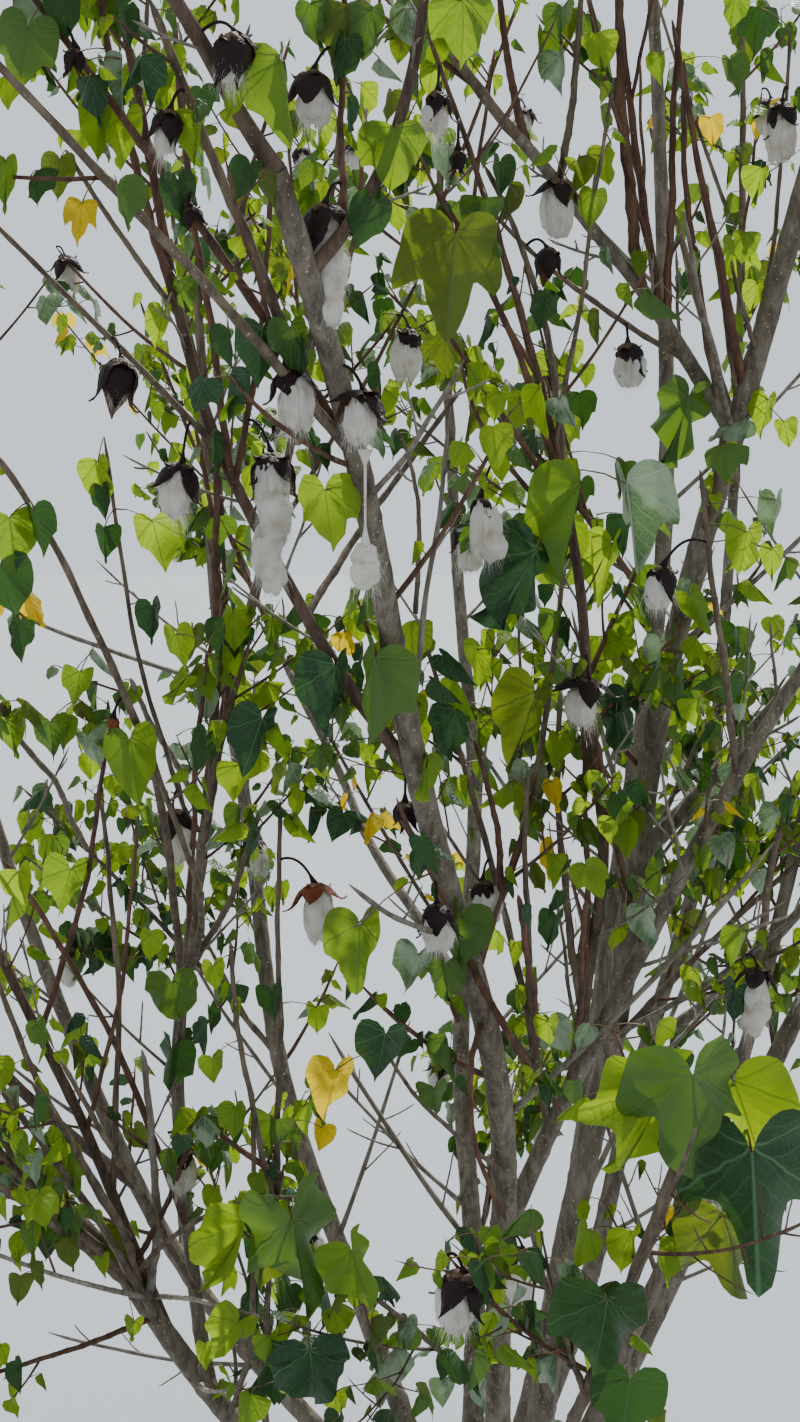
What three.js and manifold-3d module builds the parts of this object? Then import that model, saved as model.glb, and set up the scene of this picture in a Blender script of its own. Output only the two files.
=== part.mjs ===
// A cotton plant grown to a tall, open shrub. One rootstock carries a clump of bare stems, the stems
// fork into boughs, and every limb ends in a leafy shoot with drooping three-lobed leaves and open
// bolls that let their lint hang. Sizes are millimetres, +Z is up, and the origin is the middle of the
// flat cut at ground level.
import * as THREE from "three";
import { mergeVertices } from "three/addons/utils/BufferGeometryUtils.js";
import Module from "manifold-3d";

const wasm = await Module();
wasm.setup();

// Driving sizes
const CLEARANCE = 0.3; // between a limb and what grows on it
const ROOT_RADIUS = 125; // rootstock at the ground, between its lobes
const ROOT_HEIGHT = 175;
const ROOT_SIDES = 20;
const ROOT_LOBES = 5;
const LOBE_SHARE = 0.13; // how far a lobe stands out at the ground, as a share of the radius
const FOOT_RING = 62; // stems leave the rootstock from a ring of this radius
const FOOT_HEIGHT = 92;
const LIMB_SIDES = 6;
const LIMB_STEPS = 6;
const SWAY_SHARE = 0.012; // how far a limb wanders from its curve, as a share of its length
const SWAY_WAVES = 1.5;
const TURN = THREE.MathUtils.degToRad(137.5); // leaves and twigs stand this far round from the last
const TWIG_SIDES = 3;
const TWIG_SPAN = [0.12, 0.84]; // the stretch of a shoot that bears twigs
const TWIG_SHARE = 0.48; // a twig at the foot of its shoot, as a share of the shoot's length
const TWIG_SHORTENS = 0.45; // a twig at the shoot's end is shorter by this share
const TWIG_VARIES = [0.75, 1.15];
const TWIG_THINS = 0.5; // a twig's foot, as a share of the shoot's thickness there
const TWIG_RADIUS = [1.6, 1.1]; // least at its foot, and at its tip
const LEAF_SPAN = [0.3, 0.99]; // the stretch of a shoot or twig that bears leaves
const LEAF_LENGTH = [84, 124];
const LEAF_THICK = 3; // at the stalk, from where the blade thins to its edge
const LEAF_TRIES = 4;
const LEAF_TIP = [0, 1, 0.14];
const STALK_SHARE = 0.62; // a leaf's stalk, as a share of its blade's length
const SUNK = 2; // how far a leaf's root is sunk past the middle of its twig
const RISE = [12, 52]; // degrees: the stalk above level
const DROOP = [43, 77]; // degrees: the blade below level
const TWIST = [-26, 26]; // degrees: the blade's heading from the stalk's
const ROLL = [-20, 20]; // degrees: the blade about its own midrib
const BOLL_SIDES = 5;
const BOLL_RADIUS = 19;
const BRACT_DROP = 20; // from a boll's top to its lint
const BOLL_STALK = 1.6;
const TUFT_LENGTH = [45, 105];
const ELBOW_ROOM = 7; // kept free between a leaf or twig and any limb or other shoot
const UP = new THREE.Vector3(0, 0, 1);

// Stems: the bearing round the rootstock where the foot stands, the tip, how far the middle is bowed
// from the straight line, and the radius at foot and tip.
const STEMS = {
  fork_stem: { bearing: 285, tip: [-211, -900, 1749], bow: [62, 20, 25], radius: [17, 10] },
  right_stem: { bearing: 342, tip: [322, -430, 1850], bow: [-30, 75, 0], radius: [19, 11] },
  middle_stem: { bearing: 48, ring: 26, tip: [218, 130, 2080], bow: [84, 0, 0], radius: [16, 8] },
  slant_stem: { bearing: 14, tip: [640, 230, 1350], bow: [40, -10, -30], radius: [17, 9] },
  side_stem: { bearing: 313, tip: [420, -260, 1580], bow: [75, -40, 0], radius: [11, 6] },
  left_stem: { bearing: 205, tip: [-415, -300, 560], bow: [0, 0, -70], radius: [15, 12] },
  low_stem: { bearing: 252, tip: [44, -850, 664], bow: [-20, -20, -60], radius: [9, 6] },
  far_left_stem: { bearing: 168, tip: [-700, 130, 1250], bow: [-80, 0, -110], radius: [14, 7] },
  back_left_stem: { bearing: 136, tip: [-400, 520, 1500], bow: [-70, 60, -60], radius: [15, 8] },
  back_stem: { bearing: 103, tip: [-30, 680, 1560], bow: [20, 80, -60], radius: [16, 8] },
  back_right_stem: { bearing: 68, tip: [400, 560, 1480], bow: [70, 60, -60], radius: [15, 8] },
};

// Boughs: the limb each one leaves and at what share of its length, then as for the stems.
const BOUGHS = {
  arm_bough: { from: "fork_stem", share: 0.31, tip: [392, -510, 1450], bow: [-25, 0, 0], radius: [11, 6] },
  tall_bough: { from: "arm_bough", share: 0.24, tip: [59, -500, 1477], bow: [30, 0, 0], radius: [7, 5] },
  left_limb: { from: "fork_stem", share: 0.66, tip: [-318, -730, 1700], bow: [-40, 0, 0], radius: [7, 4.5] },
  top_left: { from: "fork_stem", share: 1, tip: [-330, -1000, 1960], bow: [-5, 0, 0], radius: [7, 5] },
  top_right: { from: "fork_stem", share: 0.95, tip: [-88, -865, 1930], bow: [22, 0, -20], radius: [6, 4] },
  diagonal: { from: "right_stem", share: 0.83, tip: [10, -445, 1850], bow: [0, 0, 15], radius: [9, 6] },
  upper_slant: { from: "right_stem", share: 0.545, tip: [480, -140, 1420], bow: [0, 0, -20], radius: [11, 7] },
  left_riser: { from: "left_stem", share: 0.78, tip: [-285, -200, 1349], bow: [-55, 0, 0], radius: [9, 6] },
  left_bough: { from: "left_stem", share: 0.9, tip: [-625, -440, 1180], bow: [10, 0, 0], radius: [7, 4.5] },
  outer_left: { from: "far_left_stem", share: 0.5, tip: [-860, -200, 1180], bow: [-20, 0, -40], radius: [8, 5] },
  outer_back: { from: "back_stem", share: 0.48, tip: [-330, 860, 1250], bow: [0, 40, -40], radius: [9, 5] },
  outer_right: { from: "back_right_stem", share: 0.46, tip: [780, 480, 1300], bow: [30, 0, -60], radius: [9, 5] },
};

// Leafy shoots: the limb, the share of it where the shoot stands (1 is its tip), the shoot's length,
// which way it turns as it grows, and how many twigs and leaves it may have.
const SHOOTS = {
  fork_leaves: { on: "fork_stem", share: 0.52, length: 560, turn: [0.45, 0.5, 0.8], twigs: 4, leaves: 8 },
  right_leaves: { on: "right_stem", share: 1, length: 620, turn: [0.25, -0.1, 1], twigs: 5, leaves: 9 },
  middle_leaves: { on: "middle_stem", share: 1, length: 560, turn: [-0.1, 0.05, 1], twigs: 5, leaves: 9 },
  slant_leaves: { on: "slant_stem", share: 1, length: 780, turn: [0.3, 0, 1], twigs: 5, leaves: 10 },
  side_leaves: { on: "side_stem", share: 1, length: 640, turn: [0.45, -0.1, 1], twigs: 4, leaves: 8 },
  low_leaves: { on: "low_stem", share: 1, length: 460, turn: [0.3, -0.1, 1], twigs: 4, leaves: 8 },
  far_left_leaves: { on: "far_left_stem", share: 1, length: 760, turn: [0, 0.2, 1], twigs: 5, leaves: 10 },
  back_left_leaves: { on: "back_left_stem", share: 1, length: 860, turn: [-0.1, 0, 1], twigs: 5, leaves: 10 },
  back_leaves: { on: "back_stem", share: 1, length: 860, turn: [0, 0.1, 1], twigs: 5, leaves: 10 },
  back_right_leaves: { on: "back_right_stem", share: 1, length: 860, turn: [0, 0.2, 1], twigs: 5, leaves: 10 },
  arm_leaves: { on: "arm_bough", share: 1, length: 520, turn: [0.3, -0.4, 0.8], twigs: 4, leaves: 8 },
  tall_leaves: { on: "tall_bough", share: 1, length: 480, turn: [-0.42, -0.3, 1], twigs: 4, leaves: 8 },
  left_limb_leaves: { on: "left_limb", share: 1, length: 480, turn: [-0.25, 0.1, 1], twigs: 4, leaves: 8 },
  top_left_leaves: { on: "top_left", share: 1, length: 480, turn: [-0.4, -0.2, 0.9], twigs: 4, leaves: 8 },
  top_right_leaves: { on: "top_right", share: 1, length: 480, turn: [0.2, -0.1, 1], twigs: 4, leaves: 8 },
  diagonal_leaves: { on: "diagonal", share: 1, length: 560, turn: [-0.2, -0.1, 1], twigs: 4, leaves: 8 },
  upper_slant_leaves: { on: "upper_slant", share: 1, length: 560, turn: [0.7, -0.1, 0.8], twigs: 4, leaves: 8 },
  left_riser_leaves: { on: "left_riser", share: 1, length: 620, turn: [0.1, 0, 1], twigs: 4, leaves: 9 },
  left_bough_leaves: { on: "left_bough", share: 1, length: 580, turn: [-0.2, -0.2, 1], twigs: 4, leaves: 9 },
  outer_left_leaves: { on: "outer_left", share: 1, length: 600, turn: [-0.2, -0.2, 1], twigs: 4, leaves: 8 },
  outer_back_leaves: { on: "outer_back", share: 1, length: 640, turn: [-0.3, 0.2, 0.8], twigs: 4, leaves: 9 },
  outer_right_leaves: { on: "outer_right", share: 1, length: 640, turn: [0.2, 0, 1], twigs: 4, leaves: 9 },
  upper_left_leaves: { on: "fork_stem", share: 0.855, length: 640, turn: [-0.55, -0.1, 0.7], twigs: 4, leaves: 8 },
  arm_side_leaves: { on: "arm_bough", share: 0.17, length: 640, turn: [-0.3, -0.25, 0.9], twigs: 4, leaves: 8 },
  cross_leaves: { on: "left_stem", share: 0.6, length: 520, turn: [0.15, -0.5, 0.9], twigs: 3, leaves: 8 },
  red_leaves: { on: "diagonal", share: 0.36, length: 500, turn: [-0.1, -0.12, 1], twigs: 3, leaves: 8 },
  low_left_leaves: { on: "fork_stem", share: 0.15, length: 620, turn: [-0.36, -0.85, 0.6], twigs: 4, leaves: 9 },
  low_outer_leaves: { on: "left_stem", share: 1, length: 460, turn: [-0.9, -0.1, 0.35], twigs: 3, leaves: 8 },
  low_right_leaves: { on: "slant_stem", share: 0.36, length: 500, turn: [0.7, -0.5, 0.5], twigs: 3, leaves: 8 },
  low_back_leaves: { on: "back_stem", share: 0.22, length: 500, turn: [0.3, 0.9, 0.6], twigs: 3, leaves: 8 },
  mid_right_leaves: { on: "right_stem", share: 0.4, length: 520, turn: [0.5, -0.5, 0.6], twigs: 4, leaves: 8 },
  mid_back_leaves: { on: "middle_stem", share: 0.4, length: 560, turn: [0.5, 0.7, 0.7], twigs: 4, leaves: 8 },
  mid_left_leaves: { on: "back_left_stem", share: 0.45, length: 560, turn: [-0.7, 0.2, 0.6], twigs: 4, leaves: 8 },
  inner_leaves: { on: "middle_stem", share: 0.62, length: 560, turn: [-0.7, 0.1, 0.7], twigs: 4, leaves: 8 },
};

// Bolls that show from a step away: the top of each, and the length of its hanging lint.
const BOLLS = [
  { at: [-138, -960, 1590], tuft: 50 },
  { at: [-221, -815, 1530], tuft: 125 },
  { at: [-142, -975, 1435], tuft: 45 },
  { at: [-179, -950, 1830], tuft: 45 },
  { at: [-236, -990, 1850], tuft: 40 },
  { at: [-296, -900, 1812], tuft: 40 },
  { at: [-308, -720, 1525], tuft: 55 },
  { at: [-211, -780, 1610], tuft: 60 },
  { at: [-150, -840, 1745], tuft: 95 },
  { at: [52, -480, 1815], tuft: 55 },
  { at: [129, -420, 1655], tuft: 45 },
  { at: [132, -700, 1425], tuft: 50 },
  { at: [70, -660, 1318], tuft: 45 },
  { at: [-31, -560, 1485], tuft: 70 },
  { at: [-192, -640, 1120], tuft: 60 },
  { at: [-73, -580, 1080], tuft: 45 },
  { at: [-340, -420, 1150], tuft: 60 },
  { at: [249, -620, 1862], tuft: 60 },
];

/** One of a fixed sequence of chances from 0 to 1, picked by three whole numbers. */
function chance(shoot, item, draw) {
  const wave = Math.sin(shoot * 12.9898 + item * 78.233 + draw * 37.719) * 43758.5453;
  return wave - Math.floor(wave);
}

function between([low, high], share) {
  return low + (high - low) * share;
}

function vector(list) {
  return new THREE.Vector3(...list);
}

/** A bowed line from a foot to a tip that wanders a little to each side on the way. */
class Route extends THREE.Curve {
  constructor(foot, control, tip, sway = 0) {
    super();
    this.bend = new THREE.QuadraticBezierCurve3(foot, control, tip);
    this.sway = sway;
    this.side = tip.clone().sub(foot).cross(UP).normalize();
    if (this.side.lengthSq() < 0.5) this.side.set(1, 0, 0);
  }

  getPoint(t) {
    const calm = Math.sin(Math.PI * t) ** 2; // no sway at either end
    const drift = this.sway * calm * Math.sin(2 * Math.PI * SWAY_WAVES * t + 1);
    return this.bend.getPoint(t).addScaledVector(this.side, drift);
  }

  /** The centre at t, the way along, and two directions square to it. */
  frame(t) {
    const along = this.getTangent(t);
    const across = this.side.clone().addScaledVector(along, -this.side.dot(along)).normalize();
    return { centre: this.getPoint(t), along, across, over: across.clone().cross(along) };
  }
}

/** The route of a limb whose middle is bowed away from the straight line. */
function bowedRoute(foot, tip, bow) {
  const control = foot.clone().add(tip).multiplyScalar(0.5).addScaledVector(bow, 2);
  return new Route(foot, control, tip, SWAY_SHARE * foot.distanceTo(tip));
}

/** A closed solid for joining and cutting, from any three.js geometry. */
function solidOf(geometry) {
  const bare = geometry.clone();
  bare.deleteAttribute("normal");
  bare.deleteAttribute("uv");
  const merged = mergeVertices(bare, 1e-3);
  return new wasm.Manifold(
    new wasm.Mesh({
      numProp: 3,
      vertProperties: new Float32Array(merged.getAttribute("position").array),
      triVerts: new Uint32Array(merged.getIndex().array),
    }),
  );
}

/** A tapered tube: a straight cylinder bent along a route, thicker and longer all round by `extra`. */
function bentTube(route, [footRadius, tipRadius], sides, steps, extra = 0) {
  const tube = new THREE.CylinderGeometry(tipRadius + extra, footRadius + extra, 1, sides, steps);
  const place = tube.getAttribute("position");
  for (let i = 0; i < place.count; i++) {
    const t = place.getY(i) + 0.5;
    const { centre, along, across, over } = route.frame(t);
    const beyond = t === 0 ? -extra : t === 1 ? extra : 0;
    centre.addScaledVector(along, beyond);
    centre.addScaledVector(across, place.getX(i)).addScaledVector(over, place.getZ(i));
    place.setXYZ(i, centre.x, centre.y, centre.z);
  }
  return solidOf(tube);
}

function geometryOf(solid) {
  const mesh = solid.getMesh();
  return new THREE.BufferGeometry()
    .setAttribute("position", new THREE.BufferAttribute(new Float32Array(mesh.vertProperties), 3))
    .setIndex(new THREE.BufferAttribute(new Uint32Array(mesh.triVerts), 1));
}

/**
 * The largest piece of a solid, with scraps dropped and sealed hollows filled. It is taken twice,
 * because merging the corners that lie closest together can break off one more scrap.
 */
function largestPiece(solid) {
  const largest = (whole) =>
    whole.decompose().reduce((best, piece) => (piece.volume() > best.volume() ? piece : best));
  return largest(solidOf(geometryOf(largest(solid))));
}

const BARK = new THREE.MeshStandardMaterial({ color: 0x75695b, roughness: 0.9, metalness: 0 });
const LEAF = new THREE.MeshStandardMaterial({ color: 0x4f7a24, roughness: 0.6, metalness: 0 });

const plant = new THREE.Group();

function addPiece(name, solid, material) {
  const mesh = new THREE.Mesh(geometryOf(solid), material);
  mesh.name = name;
  plant.add(mesh);
}

/** The rootstock: a low dome that flares into lobes at the ground, where it is cut flat. */
function rootstock(extra) {
  const profile = [
    [0, 0],
    [1, 0],
    [0.9, 0.24],
    [0.8, 0.62],
    [0.55, 0.88],
    [0, 1],
  ];
  const points = profile.map(
    ([r, z]) => new THREE.Vector2(r && r * ROOT_RADIUS + extra, z * ROOT_HEIGHT + (z && extra)),
  );
  const dome = new THREE.LatheGeometry(points, ROOT_SIDES);
  const place = dome.getAttribute("position");
  for (let i = 0; i < place.count; i++) {
    const [x, height, y] = [place.getX(i), place.getY(i), place.getZ(i)];
    const low = 1 - height / ROOT_HEIGHT;
    const lobe = 1 + LOBE_SHARE * low * low * Math.cos(ROOT_LOBES * Math.atan2(x, y));
    place.setXYZ(i, y * lobe, x * lobe, height);
  }
  return solidOf(dome);
}

/** Limbs by name: the route, the radii, and the bare segments that leaves keep away from. */
const limbs = {};

function addLimb(name, foot, { tip, bow, radius }, cutter) {
  const route = bowedRoute(foot, vector(tip), vector(bow));
  const grown = (extra) => bentTube(route, radius, LIMB_SIDES, LIMB_STEPS, extra);
  limbs[name] = { route, radius, fattened: grown(CLEARANCE) };
  addPiece(name, largestPiece(grown(0).subtract(cutter)), BARK);
}

addPiece("rootstock", rootstock(0), BARK);

const fatRoot = rootstock(CLEARANCE);
for (const [name, stem] of Object.entries(STEMS)) {
  const bearing = THREE.MathUtils.degToRad(stem.bearing);
  const ring = stem.ring ?? FOOT_RING;
  const foot = new THREE.Vector3(ring * Math.cos(bearing), ring * Math.sin(bearing), FOOT_HEIGHT);
  addLimb(name, foot, stem, fatRoot);
}

for (const [name, bough] of Object.entries(BOUGHS)) {
  const parent = limbs[bough.from];
  addLimb(name, parent.route.getPoint(bough.share), bough, parent.fattened);
}

/** The main axis of a shoot: on from a limb's tip, or out of its side. */
function shootRoute({ on, share, length, turn }) {
  const { centre, along } = limbs[on].route.frame(share);
  const heading = vector(turn).normalize();
  const leave = share === 1 ? along : heading.clone().addScaledVector(along, 0.3).normalize();
  const foot = centre.clone();
  const control = foot.clone().addScaledVector(leave, length * 0.45);
  const tip = control.clone().addScaledVector(heading, length * 0.55);
  return new Route(foot, control, tip);
}

/** Straight segments along a route, for keeping a distance from it. */
function bones(route, radius, count) {
  const joint = (i) => route.getPoint(i / count);
  return Array.from({ length: count }, (_, i) => ({
    line: new THREE.Line3(joint(i), joint(i + 1)),
    radius: between(radius, i / count),
  }));
}

const limbBones = Object.values(limbs).flatMap(({ route, radius }) => bones(route, radius, 10));
const shoots = Object.entries(SHOOTS).map(([name, shoot], index) => {
  const tipRadius = limbs[shoot.on].radius[1];
  const footRadius = shoot.share === 1 ? tipRadius : Math.min(tipRadius, 5);
  const route = shootRoute(shoot);
  const radius = [footRadius, footRadius * 0.4];
  return { name, ...shoot, index, route, radius, bones: bones(route, radius, 4) };
});

/** The least distance between two straight lines with ends. */
function lineGap(one, other) {
  const a = one.delta(new THREE.Vector3());
  const b = other.delta(new THREE.Vector3());
  const between = one.start.clone().sub(other.start);
  const [aa, ab, bb, ac, bc] = [a.dot(a), a.dot(b), b.dot(b), a.dot(between), b.dot(between)];
  const spread = aa * bb - ab * ab;
  let s = spread > 1e-9 ? THREE.MathUtils.clamp((ab * bc - bb * ac) / spread, 0, 1) : 0;
  const t = THREE.MathUtils.clamp((ab * s + bc) / bb, 0, 1);
  s = THREE.MathUtils.clamp((ab * t - ac) / aa, 0, 1);
  return between.addScaledVector(a, s).addScaledVector(b, -t).length();
}

function axisGap(shoot, point) {
  const near = new THREE.Vector3();
  return Math.min(
    ...shoot.bones.map(({ line }) => line.closestPointToPoint(point, true, near).distanceTo(point)),
  );
}

/**
 * True if lines of a leaf, twig or boll, each with some thickness, stay in a shoot's own space: clear
 * of all limbs and of what the shoot already bears, and nearer to its own axis than to any other's.
 */
function fits(shoot, lines, thickness, borne = []) {
  const room = thickness + ELBOW_ROOM;
  const ends = lines.flatMap((line) => [line.end, line.getCenter(new THREE.Vector3())]);
  const touches = (line, bone) => lineGap(line, bone.line) < bone.radius + room;
  if (lines.some((line) => limbBones.some((bone) => touches(line, bone)))) return false;
  if (lines.some((line) => borne.some((bone) => touches(line, bone)))) return false;
  return ends.every((point) => {
    const own = axisGap(shoot, point) + room + ELBOW_ROOM;
    return shoots.every((other) => other === shoot || axisGap(other, point) > own);
  });
}

/** Where the parts of a leaf lie: its stalk rises away from the twig, and its blade hangs from that. */
function leafPlan(root, bearing, size, [rise, droop, twist, roll]) {
  const heading = new THREE.Vector3(Math.cos(bearing), Math.sin(bearing), 0);
  const stalk = heading.clone().multiplyScalar(Math.cos(rise)).addScaledVector(UP, Math.sin(rise));
  const base = root.clone().addScaledVector(stalk, size * STALK_SHARE);
  const facing = heading.clone().applyAxisAngle(UP, twist);
  const blade = facing.clone().multiplyScalar(Math.cos(droop)).addScaledVector(UP, -Math.sin(droop));
  const side = facing.clone().cross(UP).applyAxisAngle(blade, roll);
  const face = side.clone().cross(blade);
  const edge = ([degrees, reach, sag]) => {
    const angle = THREE.MathUtils.degToRad(degrees);
    return base
      .clone()
      .addScaledVector(blade, Math.cos(angle) * reach * size)
      .addScaledVector(side, Math.sin(angle) * reach * size)
      .addScaledVector(face, -sag * size);
  };
  const mirror = ([degrees, reach, sag]) => [-degrees, reach, sag];
  const rim = [mirror(LOBE), mirror(NOTCH), LEAF_TIP, NOTCH, LOBE].map(edge);
  return { root, stalk, base, blade, side, rim };
}

// A blade's side lobe and the notch beside its middle lobe: the angle in degrees from the midrib, then
// the reach from the stalk and the sag, both as shares of the blade's length.
const LOBE = [58, 0.64, 0.1];
const NOTCH = [29, 0.46, 0.02];

/** Straight lines that stand for a leaf: its stalk, its ribs, and the edge between its lobes' tips. */
function leafLines({ root, base, rim }) {
  const [left, , tip, , right] = rim;
  const offTwig = root.clone().lerp(base, 0.25);
  const ends = [[offTwig, base], [base, tip], [base, left], [base, right], [tip, left], [tip, right]];
  return ends.map(([start, end]) => new THREE.Line3(start, end));
}

/** A leaf as one thin solid: a three-sided stalk that widens into a flat face over a ribbed back. */
function leafSolid({ root, stalk, base, blade, side, rim }) {
  const fold = stalk.clone().add(blade).normalize();
  const over = side.clone().cross(fold).normalize();
  const points = [
    root.clone().addScaledVector(stalk, -SUNK),
    base.clone().addScaledVector(over, -LEAF_THICK),
    base.clone().addScaledVector(side, -LEAF_THICK),
    ...rim,
    base.clone().addScaledVector(side, LEAF_THICK),
  ];
  const [ROOT, BACK, LEFT, LEFT_LOBE, LEFT_NOTCH, TIP, RIGHT_NOTCH, RIGHT_LOBE, RIGHT] = points.keys();
  const faces = [
    [ROOT, RIGHT, LEFT],
    [ROOT, BACK, RIGHT],
    [ROOT, LEFT, BACK],
    [LEFT, RIGHT, TIP],
    [LEFT, TIP, LEFT_NOTCH],
    [LEFT, LEFT_NOTCH, LEFT_LOBE],
    [RIGHT, RIGHT_NOTCH, TIP],
    [RIGHT, RIGHT_LOBE, RIGHT_NOTCH],
  ];
  for (let i = LEFT; i < RIGHT; i++) faces.push([BACK, i, i + 1]);
  return solidOf(new THREE.BufferGeometry().setFromPoints(points).setIndex(faces.flat()));
}

/** A boll: the dry bracts flare over a cup, and the lint swells and hangs out below them. */
function bollSolid({ top, tuft }) {
  const waist = BOLL_RADIUS * 0.63;
  const profile = [
    [0, -BRACT_DROP - tuft],
    [BOLL_RADIUS, -BRACT_DROP - tuft * 0.4],
    [waist, 1 - BRACT_DROP],
    [BOLL_RADIUS, -BRACT_DROP * 0.7],
    [0, 3],
  ];
  const shape = new THREE.LatheGeometry(
    profile.map(([radius, height]) => new THREE.Vector2(radius, height)),
    BOLL_SIDES,
  );
  shape.rotateX(Math.PI / 2).translate(top.x, top.y, top.z);
  return solidOf(shape);
}

function bollLines({ top, tuft }) {
  return [new THREE.Line3(top, top.clone().addScaledVector(UP, -BRACT_DROP - tuft))];
}

/** Side twigs stand at even steps up the shoot, each a golden turn round from the last. */
function twigPlans(shoot) {
  const plans = [];
  for (let i = 0; i < shoot.twigs; i++) {
    const share = between(TWIG_SPAN, (i + 0.5) / shoot.twigs);
    const { centre, along, across, over } = shoot.route.frame(share);
    const round = TURN * (i + shoot.index) + chance(shoot.index, i, 1);
    const out = across.multiplyScalar(Math.cos(round)).addScaledVector(over, Math.sin(round));
    const heading = out.multiplyScalar(0.85).addScaledVector(along, 0.6).normalize();
    const full = shoot.length * TWIG_SHARE * (1 - TWIG_SHORTENS * share);
    const half = (full * between(TWIG_VARIES, chance(shoot.index, i, 2))) / 2;
    const lifted = heading.clone().addScaledVector(UP, 0.5).normalize();
    const control = centre.clone().addScaledVector(heading, half);
    const route = new Route(centre, control, control.clone().addScaledVector(lifted, half));
    const thick = between(shoot.radius, share) * TWIG_THINS;
    const radius = [Math.max(TWIG_RADIUS[0], thick), TWIG_RADIUS[1]];
    const lines = bones(route, radius, 3).map(({ line }) => line);
    lines[0].start = route.getPoint(0.12);
    if (fits(shoot, lines, radius[0])) plans.push({ route, radius });
  }
  return plans;
}

/** Leaves are dealt out in turn to the shoot's own axis and to its twigs, clear of each other. */
function leafPlans(shoot, twigs, bolls) {
  const carriers = [shoot.route, ...twigs.map(({ route }) => route)];
  const borne = bolls.flatMap(bollLines).map((line) => ({ line, radius: BOLL_RADIUS }));
  const plans = [];
  carriers.forEach((route, number) => {
    const quota = Math.round((shoot.leaves * (number + 1)) / carriers.length);
    const count = quota - plans.length;
    for (let i = 0; i < count * LEAF_TRIES && plans.length < quota; i++) {
      const key = number * 40 + i;
      const deal = (draw) => chance(shoot.index + 50, key, draw);
      const root = route.getPoint(between(LEAF_SPAN, ((i + 0.7) / count) % 1));
      const bearing = TURN * (key + 2 * shoot.index) + deal(1);
      const size = between(LEAF_LENGTH, deal(2));
      const pose = [RISE, DROOP, TWIST, ROLL].map((range, draw) =>
        THREE.MathUtils.degToRad(between(range, deal(3 + draw))),
      );
      const plan = leafPlan(root, bearing, size, pose);
      const lines = leafLines(plan);
      if (!fits(shoot, lines, 1, borne)) continue;
      borne.push(...lines.map((line) => ({ line, radius: 1 })));
      plans.push(plan);
    }
  });
  return plans;
}

/** The stalk of a boll: up and over from the shoot's axis, then down into the top of the bracts. */
function bollStalk(shoot, top) {
  const perches = Array.from({ length: 10 }, (_, i) => shoot.route.getPoint(0.12 + 0.07 * i));
  const root = perches.reduce((best, point) =>
    point.distanceTo(top) < best.distanceTo(top) ? point : best,
  );
  const arch = 0.25 * root.distanceTo(top) + 12;
  return new Route(root, root.clone().lerp(top, 0.6).addScaledVector(UP, arch), top);
}

const listedBolls = BOLLS.map(({ at, tuft }) => {
  const top = vector(at);
  const owner = shoots.reduce((best, shoot) => (axisGap(shoot, top) < axisGap(best, top) ? shoot : best));
  return { owner, top, tuft };
});

/** A shoot bears the listed bolls that are nearest to it, or else one under the end of a twig. */
function bollPlans(shoot, twigs) {
  const fitsBelow = (boll) => fits(shoot, bollLines(boll), BOLL_RADIUS - ELBOW_ROOM);
  const plans = [];
  for (const { top, tuft } of listedBolls.filter(({ owner }) => owner === shoot)) {
    const route = bollStalk(shoot, top);
    const lines = bones(route, [BOLL_STALK, BOLL_STALK], 3).map(({ line }) => line);
    lines[0].start = route.getPoint(0.15);
    if (fits(shoot, lines, BOLL_STALK) && fitsBelow({ top, tuft })) plans.push({ route, top, tuft });
  }
  if (plans.length || !twigs.length) return plans;
  const bearer = twigs[Math.floor(chance(shoot.index, 90, 1) * twigs.length)];
  const top = bearer.route.getPoint(1).addScaledVector(UP, 2);
  const tuft = between(TUFT_LENGTH, chance(shoot.index, 90, 2));
  return [{ top, tuft }].filter(fitsBelow);
}

/** A shoot as one solid: its axis, with twigs, bolls and leaves fused on, cut clear of its limb. */
function shootSolid(shoot) {
  const twigs = twigPlans(shoot);
  const bolls = bollPlans(shoot, twigs);
  const stalks = bolls.filter(({ route }) => route);
  const pieces = [
    bentTube(shoot.route, shoot.radius, TWIG_SIDES, 4),
    ...twigs.map(({ route, radius }) => bentTube(route, radius, TWIG_SIDES, 2)),
    ...stalks.map(({ route }) => bentTube(route, [BOLL_STALK, BOLL_STALK], TWIG_SIDES, 3)),
    ...bolls.map(bollSolid),
    ...leafPlans(shoot, twigs, bolls).map(leafSolid),
  ];
  return pieces.reduce((sum, piece) => sum.add(piece)).subtract(limbs[shoot.on].fattened);
}

for (const shoot of shoots) addPiece(shoot.name, largestPiece(shootSolid(shoot)), LEAF);

export default plant;
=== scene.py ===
import math

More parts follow.
